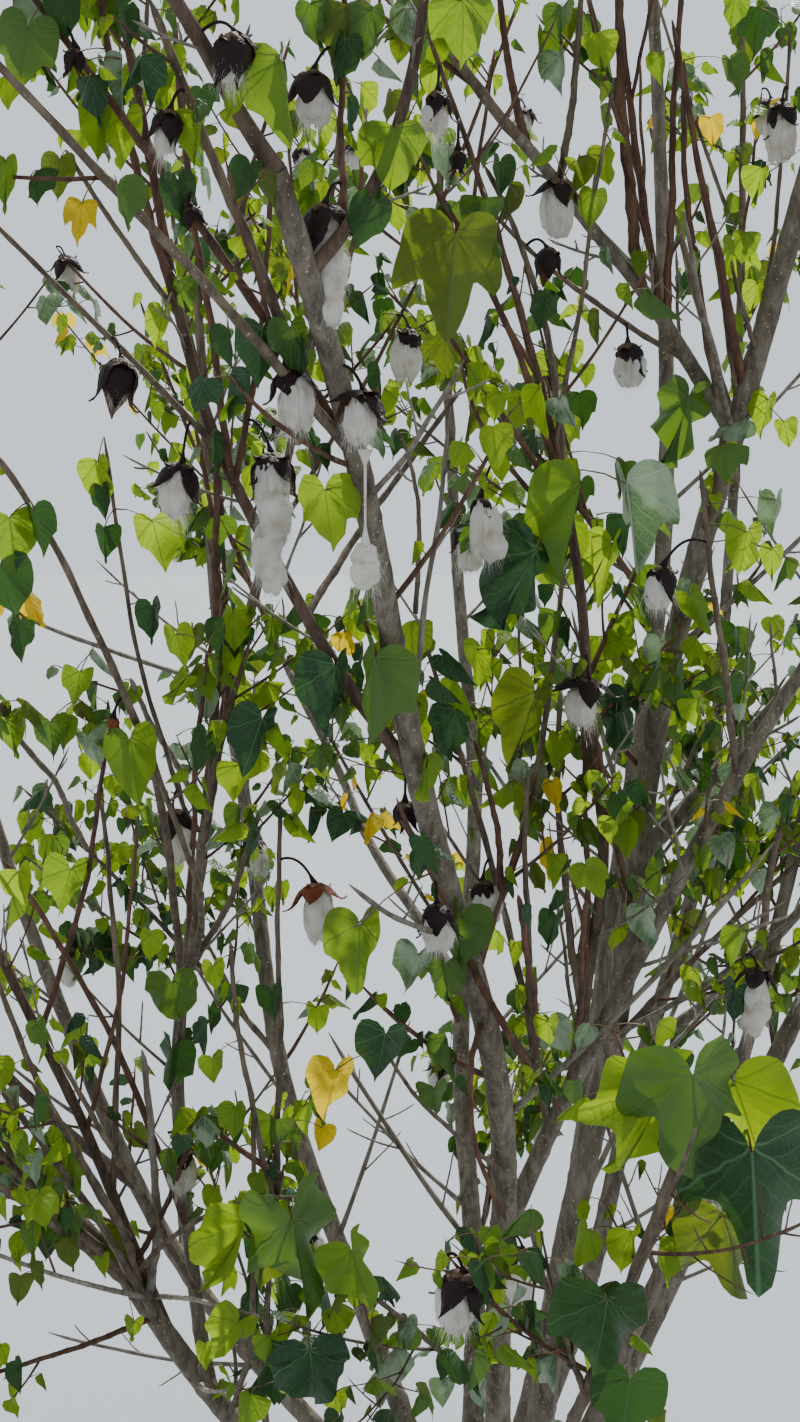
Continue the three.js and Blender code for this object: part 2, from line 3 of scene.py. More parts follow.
import bpy
import numpy as np
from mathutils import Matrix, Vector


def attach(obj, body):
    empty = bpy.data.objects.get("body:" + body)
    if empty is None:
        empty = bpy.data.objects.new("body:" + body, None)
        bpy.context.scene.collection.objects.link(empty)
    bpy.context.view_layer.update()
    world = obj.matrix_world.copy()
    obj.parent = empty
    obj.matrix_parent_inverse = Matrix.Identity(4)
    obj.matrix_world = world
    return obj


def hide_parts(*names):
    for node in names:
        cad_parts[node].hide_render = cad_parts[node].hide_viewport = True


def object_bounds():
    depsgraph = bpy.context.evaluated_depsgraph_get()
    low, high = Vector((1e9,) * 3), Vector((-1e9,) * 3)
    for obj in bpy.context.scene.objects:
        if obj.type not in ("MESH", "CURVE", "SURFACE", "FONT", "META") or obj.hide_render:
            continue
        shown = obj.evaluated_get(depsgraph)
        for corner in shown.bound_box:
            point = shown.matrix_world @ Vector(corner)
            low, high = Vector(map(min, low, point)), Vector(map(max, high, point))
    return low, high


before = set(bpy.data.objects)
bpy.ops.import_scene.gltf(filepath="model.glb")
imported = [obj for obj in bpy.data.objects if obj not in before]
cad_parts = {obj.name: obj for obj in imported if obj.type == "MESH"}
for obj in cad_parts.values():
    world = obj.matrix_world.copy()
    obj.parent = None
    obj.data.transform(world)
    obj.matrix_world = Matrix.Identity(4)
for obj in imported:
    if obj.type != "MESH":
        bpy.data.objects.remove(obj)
cad_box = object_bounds()

# Camera: stands in front of the plant at eye height, and looks slightly down into it. The picture's
# size and the focal length are in points of the picture, the camera's place is in millimetres.
MM = 0.001
CAMERA_AT = np.array([-110.0, -2600.0, 1500.0])
CAMERA_DIP = math.radians(6.42)
PICTURE_WIDTH = 800
PICTURE_HEIGHT = 1422
FOCAL_LENGTH = 2053
SENSOR = 36.0
camera_data = bpy.data.cameras.new("camera")
camera_data.sensor_fit = "VERTICAL"
camera_data.sensor_height = SENSOR
camera_data.lens = SENSOR * FOCAL_LENGTH / PICTURE_HEIGHT
camera = bpy.data.objects.new("camera", camera_data)
camera.location = CAMERA_AT * MM
camera.rotation_euler = (math.pi / 2 - CAMERA_DIP, 0, 0)
bpy.context.scene.collection.objects.link(camera)
bpy.context.scene.camera = camera


# Floor and light: a plain pale studio floor, an even pale surround, and one wide lamp that stands
# behind the plant and to its right, so that the leaves near the camera are lit through.
FLOOR_SIZE = 60000
FLOOR_COLOUR = "#9fa3a6"
SURROUND_COLOUR = "#e4edf4"
SURROUND_STRENGTH = 1.15
LAMP_TURN = (math.radians(-38), math.radians(16), 0)
LAMP_STRENGTH = 6.6
LAMP_SPREAD = math.radians(2.5)


def linear(colour):
    """A colour of sRGB hex digits as linear red, green, blue and alpha."""
    values = np.array([int(colour[i : i + 2], 16) for i in (1, 3, 5)]) / 255
    low = values / 12.92
    high = ((values + 0.055) / 1.055) ** 2.4
    return (*np.where(values <= 0.04045, low, high), 1.0)


def add_node(material, kind, settings=None, **links):
    """One node of a material, with settings by socket or property, colours by their hex digits, and links
    to its sockets, by name or number, from a socket or from the first output in use of a node."""
    node = material.node_tree.nodes.new("ShaderNode" + kind)
    for key, value in (settings or {}).items():
        if isinstance(key, int) or key in node.inputs:
            is_colour = isinstance(value, str) and value[0] == "#"
            node.inputs[key].default_value = linear(value) if is_colour else value
        else:
            setattr(node, key, value)
    for key, source in links.items():
        if isinstance(source, bpy.types.Node):
            source = next(output for output in source.outputs if output.enabled)
        socket = node.inputs[int(key[1:]) if key[0] == "_" else key.replace("_", " ")]
        material.node_tree.links.new(source, socket)
    return node


def new_material(name):
    """An empty node material."""
    material = bpy.data.materials.new(name)
    material.use_nodes = True
    material.node_tree.nodes.clear()
    return material


def end_material(material, shader):
    """The material with its shader linked to its output."""
    add_node(material, "OutputMaterial", Surface=shader)
    return material


def make_mesh(name, shape, material, places=None):
    """A smooth mesh object. The shape is an array of vertices in mm and a list of arrays of faces of one
    size each, and the places are each vertex's own on a flat map."""
    vertices, faces = shape
    corners = np.concatenate([f.ravel() for f in faces]).astype(np.int32)
    sizes = np.concatenate([np.full(len(f), f.shape[1]) for f in faces])
    starts = np.concatenate([[0], np.cumsum(sizes)[:-1]])
    mesh = bpy.data.meshes.new(name)
    mesh.vertices.add(len(vertices))
    mesh.vertices.foreach_set("co", (vertices * MM).astype(np.float32).ravel())
    mesh.loops.add(len(corners))
    mesh.loops.foreach_set("vertex_index", corners)
    mesh.polygons.add(len(sizes))
    mesh.polygons.foreach_set("loop_start", starts.astype(np.int32))
    mesh.polygons.foreach_set("use_smooth", np.ones(len(sizes), bool))
    if places is not None:
        flat_map = mesh.uv_layers.new(name="place")
        flat_map.data.foreach_set("uv", places[corners].astype(np.float32).ravel())
    mesh.update(calc_edges=True)
    mesh.validate()
    mesh.materials.append(material)
    piece = bpy.data.objects.new(name, mesh)
    bpy.context.scene.collection.objects.link(piece)
    return piece


floor_paint = new_material("floor_paint")
floor_finish = {"Base Color": FLOOR_COLOUR, "Roughness": 0.9}
end_material(floor_paint, add_node(floor_paint, "BsdfPrincipled", floor_finish))
floor_corners = np.array([(-1, -1, 0), (1, -1, 0), (1, 1, 0), (-1, 1, 0)]) * FLOOR_SIZE / 2
floor = make_mesh("floor", (floor_corners, [np.array([[0, 1, 2, 3]])]), floor_paint)

surround = bpy.data.worlds.new("surround")
surround.use_nodes = True
surround_light = surround.node_tree.nodes["Background"].inputs
surround_light["Color"].default_value = linear(SURROUND_COLOUR)
surround_light["Strength"].default_value = SURROUND_STRENGTH
bpy.context.scene.world = surround

lamp_data = bpy.data.lights.new("lamp", "SUN")
lamp_data.energy = LAMP_STRENGTH
lamp_data.angle = LAMP_SPREAD
lamp = bpy.data.objects.new("lamp", lamp_data)
lamp.rotation_euler = LAMP_TURN
bpy.context.scene.collection.objects.link(lamp)


# Stems and boughs: living wood in a clump from one rootstock. The bark of the old stems is grey-brown
# and scurfy with pale specks, that of thin young boughs is red-brown, and old leaf scars ring both.
FOOT_RING = 62
FOOT_HEIGHT = 92
SWAY_SHARE = 0.012
SWAY_WAVES = 1.5
UP = np.array([0.0, 0.0, 1.0])
# Each stem: the bearing of its foot round the rootstock in degrees and how far out it stands, the tip,
# how far its middle bows out, and the radius at foot and tip.
STEMS = {
    "fork_stem": (285, FOOT_RING, (-211, -900, 1749), (62, 20, 25), (17, 10)),
    "right_stem": (342, FOOT_RING, (322, -430, 1850), (-30, 75, 0), (19, 11)),
    "middle_stem": (48, 26, (218, 130, 2080), (84, 0, 0), (16, 8)),
    "slant_stem": (14, FOOT_RING, (640, 230, 1350), (40, -10, -30), (17, 9)),
    "side_stem": (313, FOOT_RING, (420, -260, 1580), (75, -40, 0), (11, 6)),
    "left_stem": (205, FOOT_RING, (-415, -300, 560), (0, 0, -70), (15, 12)),
    "low_stem": (252, FOOT_RING, (44, -850, 664), (-20, -20, -60), (9, 6)),
    "far_left_stem": (168, FOOT_RING, (-700, 130, 1250), (-80, 0, -110), (14, 7)),
    "back_left_stem": (136, FOOT_RING, (-400, 520, 1500), (-70, 60, -60), (15, 8)),
    "back_stem": (103, FOOT_RING, (-30, 680, 1560), (20, 80, -60), (16, 8)),
    "back_right_stem": (68, FOOT_RING, (400, 560, 1480), (70, 60, -60), (15, 8)),
}
# Each bough: the limb that it leaves and the share of the way along it, then the same from the tip on.
BOUGHS = {
    "arm_bough": ("fork_stem", 0.31, (392, -510, 1450), (-25, 0, 0), (11, 6)),
    "tall_bough": ("arm_bough", 0.24, (59, -500, 1477), (30, 0, 0), (7, 5)),
    "left_limb": ("fork_stem", 0.66, (-318, -730, 1700), (-40, 0, 0), (7, 4.5)),
    "top_left": ("fork_stem", 1, (-330, -1000, 1960), (-5, 0, 0), (7, 5)),
    "top_right": ("fork_stem", 0.95, (-88, -865, 1930), (22, 0, -20), (6, 4)),
    "diagonal": ("right_stem", 0.83, (10, -445, 1850), (0, 0, 15), (9, 6)),
    "upper_slant": ("right_stem", 0.545, (480, -140, 1420), (0, 0, -20), (11, 7)),
    "left_riser": ("left_stem", 0.78, (-285, -200, 1349), (-55, 0, 0), (9, 6)),
    "left_bough": ("left_stem", 0.9, (-625, -440, 1180), (10, 0, 0), (7, 4.5)),
    "outer_left": ("far_left_stem", 0.5, (-860, -200, 1180), (-20, 0, -40), (8, 5)),
    "outer_back": ("back_stem", 0.48, (-330, 860, 1250), (0, 40, -40), (9, 5)),
    "outer_right": ("back_right_stem", 0.46, (780, 480, 1300), (30, 0, -60), (9, 5)),
}
YOUNG_BOUGHS = ("tall_bough", "left_limb", "top_left", "top_right", "left_bough", "outer_left")
LIMB_SIDES = 18
LIMB_STEP = 8
LINE_POINTS = 200
COLLAR_SWELL = 0.35
COLLAR_LENGTH = 14
RIPPLE_PITCH = (18, 140)
RIPPLE_SHARE = 0.035
SCAR_FROM = 30
SCAR_TIP_GAP = 10
SCAR_SPACING = 46
SCAR_STRAYS = (-12, 12)
SCAR_HEIGHT = 1.5
SCAR_LENGTH = 6
FULL_SCAR_RADIUS = 14
GOLDEN_TURN = math.radians(137.5)


def unit(vectors):
    """Vectors divided by their own length."""
    return vectors / np.linalg.norm(vectors, axis=-1, keepdims=True)


def bowed(foot, tip, bow):
    """The route of a limb: foot, the control point that bows its middle, tip, and its sideways sway."""
    foot, tip = np.asarray(foot, float), np.asarray(tip, float)
    return foot, (foot + tip) / 2 + 2 * np.asarray(bow, float), tip, SWAY_SHARE * np.linalg.norm(tip - foot)


def follow(route, t):
    """Centres and frames at shares t of routes. A centre is the quadratic curve
    (1-t)^2 foot + 2t(1-t) control + t^2 tip, moved sideways by sway sin^2(pi t) sin(3 pi t + 1)."""
    foot, control, tip, sway = (np.asarray(part, float) for part in route)
    foot, control, tip = (part[..., None, :] for part in (foot, control, tip))
    t = np.asarray(t, float)[..., None]
    side = unit(np.cross(tip - foot, UP) + 1e-9)

    def centre_at(t):
        drift = sway[..., None, None] * np.sin(np.pi * t) ** 2 * np.sin(2 * np.pi * SWAY_WAVES * t + 1)
        return (1 - t) ** 2 * foot + 2 * t * (1 - t) * control + t**2 * tip + drift * side

    along = unit(centre_at(np.minimum(t + 1e-3, 1)) - centre_at(np.maximum(t - 1e-3, 0)))
    across = unit(side - along * (side * along).sum(-1, keepdims=True))
    return centre_at(t), along, across, np.cross(across, along)


def around(sides):
    """Angles of even steps round a full turn: 2 pi i / sides."""
    return np.arange(sides) * 2 * np.pi / sides


def grid_faces(rows, columns, closed=False, flip=False):
    """Quads of a grid of points numbered row by row. A closed grid's last column joins its
    first, and a flipped one faces the other way."""
    grid = np.arange(rows * columns).reshape(rows, columns)
    if closed:
        grid = np.concatenate([grid, grid[:, :1]], axis=1)
    quads = np.stack([grid[:-1, :-1], grid[1:, :-1], grid[1:, 1:], grid[:-1, 1:]], axis=-1).reshape(-1, 4)
    return quads[:, [0, 3, 2, 1]] if flip else quads


def repeated(faces, count, points):
    """The faces of one shape for a count of such shapes, of so many points each."""
    return (faces + (np.arange(count) * points)[:, None, None]).reshape(-1, faces.shape[1])


def tubes(centre, across, over, radius):
    """Closed tubes: ring i of a tube is its centre plus radius times (across cos a + over sin a) for
    angles a round the ring, rings are joined by quads, and a fan closes each end."""
    count, rings, sides = radius.shape
    angle = around(sides)
    round_ring = across[..., None, :] * np.cos(angle)[:, None] + over[..., None, :] * np.sin(angle)[:, None]
    walls = centre[..., None, :] + radius[..., None] * round_ring
    vertices = np.concatenate([walls.reshape(count, -1, 3), centre[:, :1], centre[:, -1:]], axis=1)
    ends = rings * sides + np.array([0, 1])
    first = np.arange(sides)
    last = first + ends[0] - sides
    foot = np.stack([np.full(sides, ends[0]), first, np.roll(first, -1)], axis=-1)
    tip = np.stack([np.full(sides, ends[1]), np.roll(last, -1), last], axis=-1)
    faces = grid_faces(rings, sides, closed=True), np.concatenate([foot, tip])
    return vertices.reshape(-1, 3), [repeated(part, count, vertices.shape[1]) for part in faces]


def ripple(x, angle, seed, waves=6):
    """A smooth bumpy field, mostly between -1 and 1: a sum of sines of the length x and of whole turns
    of angle."""
    random = np.random.default_rng(seed)
    total = 0
    for wave in range(waves):
        pitch = random.uniform(*RIPPLE_PITCH)
        total = total + np.sin(2 * np.pi * x / pitch + random.integers(1, 6) * angle + random.uniform(0, 6))
    return total / waves**0.5 / 1.6


def bark_radius(length, radius, seed):
    """Radius of a limb over its length and round it: the taper, a collar at the foot, ripples, and a
    raised scar every SCAR_SPACING that stands out most on one side, a golden turn from the last."""
    x = np.arange(0, length + LIMB_STEP, LIMB_STEP)[:, None]
    angle = around(LIMB_SIDES)[None, :]
    taper = np.interp(x, [0, length], radius)
    collar = 1 + COLLAR_SWELL * np.exp(-x / COLLAR_LENGTH)
    spots = np.arange(SCAR_FROM, length - SCAR_TIP_GAP, SCAR_SPACING)
    spots = spots + np.random.default_rng(seed).uniform(*SCAR_STRAYS, len(spots))
    spread = np.exp(-(((x[..., None] - spots) / SCAR_LENGTH) ** 2))
    facing = np.cos(angle[..., None] - GOLDEN_TURN * np.arange(len(spots)))
    scars = (spread * (0.35 + 0.65 * np.exp(2 * (facing - 1)))).sum(-1) * SCAR_HEIGHT
    rippled = taper * collar * (1 + RIPPLE_SHARE * ripple(x, angle, seed))
    return rippled + scars * taper / FULL_SCAR_RADIUS


def bark_material(name, wood, dark, speck, specks):
    """Bark in two woody tones that run lengthwise, some 10 mm apart across and 50 mm along, with corky
    specks of 4 mm, a fine scurf in relief, and patches of some 70 mm that are damp and darker."""
    material = new_material(name)
    place = add_node(material, "TexCoord").outputs["Object"]
    grain_map = add_node(material, "Mapping", {"Scale": (1, 1, 0.22)}, Vector=place)
    grain = add_node(material, "TexNoise", {"Scale": 95, "Detail": 5, "Roughness": 0.65}, Vector=grain_map)
    patches = add_node(material, "TexNoise", {"Scale": 14, "Detail": 3}, Vector=place)
    cork = add_node(material, "TexNoise", {"Scale": 260, "Detail": 2}, Vector=place)
    tone = add_node(material, "ValToRGB", Fac=grain)
    for stop, position, colour in zip(tone.color_ramp.elements, (0.34, 0.66), (dark, wood)):
        stop.position = position
        stop.color = linear(colour)
    damp = add_node(material, "MapRange", {1: 0.42, 2: 0.6, 3: 0.0, 4: 0.55}, _0=patches)
    weather = {"data_type": "RGBA", "blend_type": "MULTIPLY", 7: "#c8c2b4"}
    weathered = add_node(material, "Mix", weather, _0=damp, _6=tone)
    spotted = add_node(material, "MapRange", {1: specks, 2: specks + 0.05}, _0=cork)
    colour = add_node(material, "Mix", {"data_type": "RGBA", 7: speck}, _0=spotted, _6=weathered)
    relief = add_node(material, "Math", {"operation": "ADD"}, _0=grain, _1=cork)
    bump = add_node(material, "Bump", {"Strength": 0.55, "Distance": 0.0012}, Height=relief)
    finish = {"Roughness": 0.82, "Specular IOR Level": 0.3}
    shader = add_node(material, "BsdfPrincipled", finish, Base_Color=colour, Normal=bump)
    return end_material(material, shader)


old_bark = bark_material("old_stem_bark", "#82786a", "#4c443b", "#a1967f", 0.655)
young_bark = bark_material("young_bough_bark", "#6a574a", "#3e2d26", "#8d7d6b", 0.68)


def add_piece(name, shape, material, nodes, places=None):
    """A piece of the plant. It stands on the plant's one body, and stands for its nodes."""
    piece = make_mesh(name, shape, material, places)
    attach(piece, "root")
    if nodes:
        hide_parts(*nodes)


limbs = {}
for name, (bearing, ring, tip, bow, radius) in STEMS.items():
    bearing = math.radians(bearing)
    foot = (ring * math.cos(bearing), ring * math.sin(bearing), FOOT_HEIGHT)
    limbs[name] = bowed(foot, tip, bow), radius
for name, (carrier, share, tip, bow, radius) in BOUGHS.items():
    foot = follow(limbs[carrier][0], [share])[0][0]
    limbs[name] = bowed(foot, tip, bow), radius

for number, (name, (route, radius)) in enumerate(limbs.items()):
    t = np.linspace(0, 1, LINE_POINTS)
    steps = np.linalg.norm(np.diff(follow(route, t)[0], axis=0), axis=1)
    walked = np.concatenate([[0], np.cumsum(steps)])
    girth = bark_radius(walked[-1], radius, number)
    shares = np.interp(np.linspace(0, walked[-1], len(girth)), walked, t)
    centre, _, across, over = follow(route, shares)
    bark = young_bark if name in YOUNG_BOUGHS else old_bark
    slot = "young_bark" if name in BOUGHS else "old_bark"
    add_piece("bark_" + name, tubes(centre[None], across[None], over[None], girth[None]), bark, [name])

# The rootstock is a woody stool, wider at the ground, where old stems have been cut back and healed.
# Its profile is given by how far along it, how wide against its radius, and how high up.
ROOT_RADIUS = 125
ROOT_HEIGHT = 175
ROOT_LOBES = 5
LOBE_SHARE = 0.13
KNOT_SHARE = 0.03
ROOT_SIDES = 72
ROOT_RINGS = 40
ROOT_PROFILE = (
    (0, 0, 0),
    (0.3, 1, 0),
    (0.45, 0.9, 0.24),
    (0.65, 0.8, 0.62),
    (0.85, 0.55, 0.88),
    (0.95, 0.25, 0.97),
    (1, 0, 1),
)
profile_at, profile_width, profile_height = zip(*ROOT_PROFILE)
ring_share = np.linspace(0, 1, ROOT_RINGS)
root_radius = np.interp(ring_share, profile_at, profile_width)[:, None] * ROOT_RADIUS
root_height = np.interp(ring_share, profile_at, profile_height)[:, None] * ROOT_HEIGHT
root_angle = around(ROOT_SIDES)[None, :]
lobe = 1 + LOBE_SHARE * (1 - root_height / ROOT_HEIGHT) ** 2 * np.cos(ROOT_LOBES * root_angle)
knots = 1 + KNOT_SHARE * ripple(root_height, root_angle, 77, 9) * (root_height > 0)
root_out = root_radius * lobe * knots
root_points = [root_out * np.cos(root_angle), root_out * np.sin(root_angle), root_height + 0 * root_angle]
root_faces = grid_faces(ROOT_RINGS, ROOT_SIDES, closed=True, flip=True)
root_shape = np.stack(root_points, axis=-1).reshape(-1, 3), [root_faces]
add_piece("bark_rootstock", root_shape, old_bark, ["rootstock"])


# Leafy shoots: young red-brown wood, grey where it is thick or low. Each grows on from a limb's tip or
# out of its side, bears whips and twigs, which bear finer twigs, all clear of the next shoot's space.
# The values are the limb and the share of the way along it, length, heading and how many twigs.
SHOOTS = {
    "fork_leaves": ("fork_stem", 0.52, 560, (0.45, 0.5, 0.8), 4),
    "right_leaves": ("right_stem", 1, 620, (0.25, -0.1, 1), 5),
    "middle_leaves": ("middle_stem", 1, 560, (-0.1, 0.05, 1), 5),
    "slant_leaves": ("slant_stem", 1, 780, (0.3, 0, 1), 5),
    "side_leaves": ("side_stem", 1, 640, (0.45, -0.1, 1), 4),
    "low_leaves": ("low_stem", 1, 460, (0.3, -0.1, 1), 4),
    "far_left_leaves": ("far_left_stem", 1, 760, (0, 0.2, 1), 5),
    "back_left_leaves": ("back_left_stem", 1, 860, (-0.1, 0, 1), 5),
    "back_leaves": ("back_stem", 1, 860, (0, 0.1, 1), 5),
    "back_right_leaves": ("back_right_stem", 1, 860, (0, 0.2, 1), 5),
    "arm_leaves": ("arm_bough", 1, 520, (0.3, -0.4, 0.8), 4),
    "tall_leaves": ("tall_bough", 1, 480, (-0.42, -0.3, 1), 4),
    "left_limb_leaves": ("left_limb", 1, 480, (-0.25, 0.1, 1), 4),
    "top_left_leaves": ("top_left", 1, 480, (-0.4, -0.2, 0.9), 4),
    "top_right_leaves": ("top_right", 1, 480, (0.2, -0.1, 1), 4),
    "diagonal_leaves": ("diagonal", 1, 560, (-0.2, -0.1, 1), 4),
    "upper_slant_leaves": ("upper_slant", 1, 560, (0.7, -0.1, 0.8), 4),
    "left_riser_leaves": ("left_riser", 1, 620, (0.1, 0, 1), 4),
    "left_bough_leaves": ("left_bough", 1, 580, (-0.2, -0.2, 1), 4),
    "outer_left_leaves": ("outer_left", 1, 600, (-0.2, -0.2, 1), 4),
    "outer_back_leaves": ("outer_back", 1, 640, (-0.3, 0.2, 0.8), 4),
    "outer_right_leaves": ("outer_right", 1, 640, (0.2, 0, 1), 4),
    "upper_left_leaves": ("fork_stem", 0.855, 640, (-0.55, -0.1, 0.7), 4),
    "arm_side_leaves": ("arm_bough", 0.17, 640, (-0.3, -0.25, 0.9), 4),
    "cross_leaves": ("left_stem", 0.6, 520, (0.15, -0.5, 0.9), 3),
    "red_leaves": ("diagonal", 0.36, 500, (-0.1, -0.12, 1), 3),
    "low_left_leaves": ("fork_stem", 0.15, 620, (-0.36, -0.85, 0.6), 4),
    "low_outer_leaves": ("left_stem", 1, 460, (-0.9, -0.1, 0.35), 3),
    "low_right_leaves": ("slant_stem", 0.36, 500, (0.7, -0.5, 0.5), 3),
    "low_back_leaves": ("back_stem", 0.22, 500, (0.3, 0.9, 0.6), 3),
    "mid_right_leaves": ("right_stem", 0.4, 520, (0.5, -0.5, 0.6), 4),
    "mid_back_leaves": ("middle_stem", 0.4, 560, (0.5, 0.7, 0.7), 4),
    "mid_left_leaves": ("back_left_stem", 0.45, 560, (-0.7, 0.2, 0.6), 4),
    "inner_leaves": ("middle_stem", 0.62, 560, (-0.7, 0.1, 0.7), 4),
}
# Orders of wood: where along the carrier they stand, how long they are against it, how far they head
# out and on, how much they lift, how thick they are against it and at least, and their own chances.
ORDERS = {
    "whip": dict(span=(0.05, 0.55), share=0.72, out=0.45, on=1.0, lift=0.25, thins=0.6, least=1.8, draw=21),
    "twig": dict(span=(0.12, 0.84), share=0.48, out=0.85, on=0.6, lift=0.5, thins=0.5, least=1.5, draw=1),
    "fine": dict(span=(0.25, 0.95), share=0.4, out=0.85, on=0.6, lift=0.35, thins=0.55, least=0.9, draw=11),
    "sprig": dict(span=(0.4, 0.97), share=0.16, out=0.8, on=0.7, lift=0.6, thins=0.25, least=1.3, draw=41),
    "dry": dict(span=(0.2, 0.9), share=0.28, out=0.8, on=0.7, lift=0.3, thins=0.28, least=1.4, draw=31),
}
WHIPS_PER_SHOOT = 3
FINE_TWIGS = 6
TIP_TWIGS = 2
TIP_TWIG_SPAN = (0.6, 0.95)
SPRIGS = 7
DRY_TWIGS = 5
DRY_FINE_TWIGS = 3
SHORTENS = 0.45
THINS = 0.6
VARIES = (0.75, 1.15)
WOOD_ROOM = 1.0
SPACE_ROOM = 2.0
ELBOW_ROOM = 7
WOOD_OVER = 5
SIDE_SHOOT_RADIUS = 5
SIDE_SHOOT_ON = 0.3
CHECKED_SHARES = np.linspace(0.2, 1, 6)
SHOOT_THINS = 0.4
ZIGZAG = 0.16
LEAF_SWELL = 0.14
BUD = 0.3
WOOD_SIDES = {"axis": 8, "whip": 7, "twig": 6, "fine": 5, "dry": 5}
WOOD_RINGS = {"axis": 37, "whip": 37, "twig": 13, "fine": 7, "dry": 13}


def chance(shoot, item, draw):
    """One of a fixed sequence of chances from 0 to 1, picked by three whole numbers."""
    wave = np.sin(shoot * 12.9898 + item * 78.233 + draw * 37.719) * 43758.5453
    return wave - np.floor(wave)


def between(limits, share):
    """The value at a share of the way from the first limit to the second."""
    return limits[0] + (limits[1] - limits[0]) * share


def bones(route, radius, count):
    """A route as straight segments: their starts, ends and radii."""
    line = follow(route, np.linspace(0, 1, count + 1))[0]
    return line[:-1], line[1:], between(radius, np.arange(count) / count)


def gap_to(points, starts, ends):
    """Distance from each point to each straight segment: to the segment's nearest point."""
    run = ends - starts
    reach = points[..., None, :] - starts
    share = np.clip((reach * run).sum(-1) / (run * run).sum(-1), 0, 1)
    return np.linalg.norm(reach - share[..., None] * run, axis=-1)


def shoot_route(limb, share, length, turn):
    """On from a limb's tip along its own heading, or out of its side, for 0.45 of the length, then over
    to the shoot's turn for the rest."""
    centre, along, _, _ = (part[0] for part in follow(limbs[limb][0], [share]))
    heading = unit(np.array(turn, float))
    leave = along if share == 1 else unit(heading + SIDE_SHOOT_ON * along)
    control = centre + leave * length * 0.45
    return centre, control, control + heading * length * 0.55, 0.0


each_limb_bones = [bones(route, radius, 10) for route, radius in limbs.values()]
limb_bones = [np.concatenate(parts) for parts in zip(*each_limb_bones)]
shoot_names = list(SHOOTS)
axes = []
for number, (limb, share, length, turn, _) in enumerate(SHOOTS.values()):
    tip_radius = limbs[limb][1][1]
    foot_radius = tip_radius if share == 1 else min(tip_radius, SIDE_SHOOT_RADIUS)
    radius = foot_radius, foot_radius * SHOOT_THINS
    axes.append((number, shoot_route(limb, share, length, turn), radius, length))
axis_bones = [bones(route, radius, 4) for _, route, radius, _ in axes]


def clear_of_limbs(points, room):
    """True for each row of points that stays outside all limbs by its room."""
    starts, ends, thick = limb_bones
    return (gap_to(points, starts, ends) > thick + room).all(axis=(1, 2))


def in_own_space(owner, points, room):
    """True for each row of points nearer to the axis of its own shoot than to any other shoot's."""
    gaps = np.stack([gap_to(points, s, e).min(-1) for s, e, _ in axis_bones], axis=-1)
    pick_own = owner[:, None, None].repeat(points.shape[1], 1)
    own = np.take_along_axis(gaps, pick_own, axis=2)[..., 0]
    np.put_along_axis(gaps, pick_own, np.inf, axis=2)
    return (gaps.min(-1) > own + room + ELBOW_ROOM).all(axis=1)


def nearest_shoots(points):
    """The number of the shoot whose axis is nearest to each point."""
    return [int(np.argmin([gap_to(point[None], s, e).min() for s, e, _ in axis_bones])) for point in points]


def in_reach(points, over):
    """True for each row of points above the ground, in the box of the plant made wider all round."""
    lowest, highest = np.array(cad_box) / MM
    grow = np.array([over, over, 0])
    return ((points > lowest - grow) & (points < highest + over)).all(axis=(1, 2))


def branch(order, carriers, counts, first_key, span=None):
    """Side wood of a set of carriers. Piece i of n stands (i + 1/2) / n of the way along the span, heads
    out at a golden turn from the last and on along the carrier, and lifts towards its tip. The first key
    is the number of the first carrier's chances. A piece of wood is its owner's number, its route, its
    radius at foot and tip, and its length."""
    rule = ORDERS[order]
    draw = rule["draw"]
    grown = []
    for number, ((owner, route, radius, length), count) in enumerate(zip(carriers, counts)):
        key = first_key + number
        shares = between(span or rule["span"], (np.arange(count) + 0.5) / count)
        centres, alongs, acrosses, overs = follow(route, shares)
        for i, share in enumerate(shares):
            turn = GOLDEN_TURN * (i + key) + chance(key, i, draw)
            out = acrosses[i] * math.cos(turn) + overs[i] * math.sin(turn)
            heading = unit(rule["out"] * out + rule["on"] * alongs[i])
            full = length * rule["share"] * (1 - SHORTENS * share)
            half = full * between(VARIES, chance(key, i, draw + 1)) / 2
            control = centres[i] + heading * half
            tip = control + unit(heading + rule["lift"] * UP) * half
            thick = max(between(radius, share) * rule["thins"], rule["least"])
            side_route = (centres[i], control, tip, SWAY_SHARE * half)
            grown.append((owner, side_route, (thick, thick * THINS), 2 * half))
    points = np.stack([follow(route, CHECKED_SHARES)[0] for _, route, _, _ in grown])
    keep = clear_of_limbs(points, WOOD_ROOM) & in_reach(points, WOOD_OVER)
    if order not in ("dry", "sprig"):
        keep = keep & in_own_space(np.array([wood[0] for wood in grown]), points, SPACE_ROOM)
    return [wood for wood, kept in zip(grown, keep) if kept]


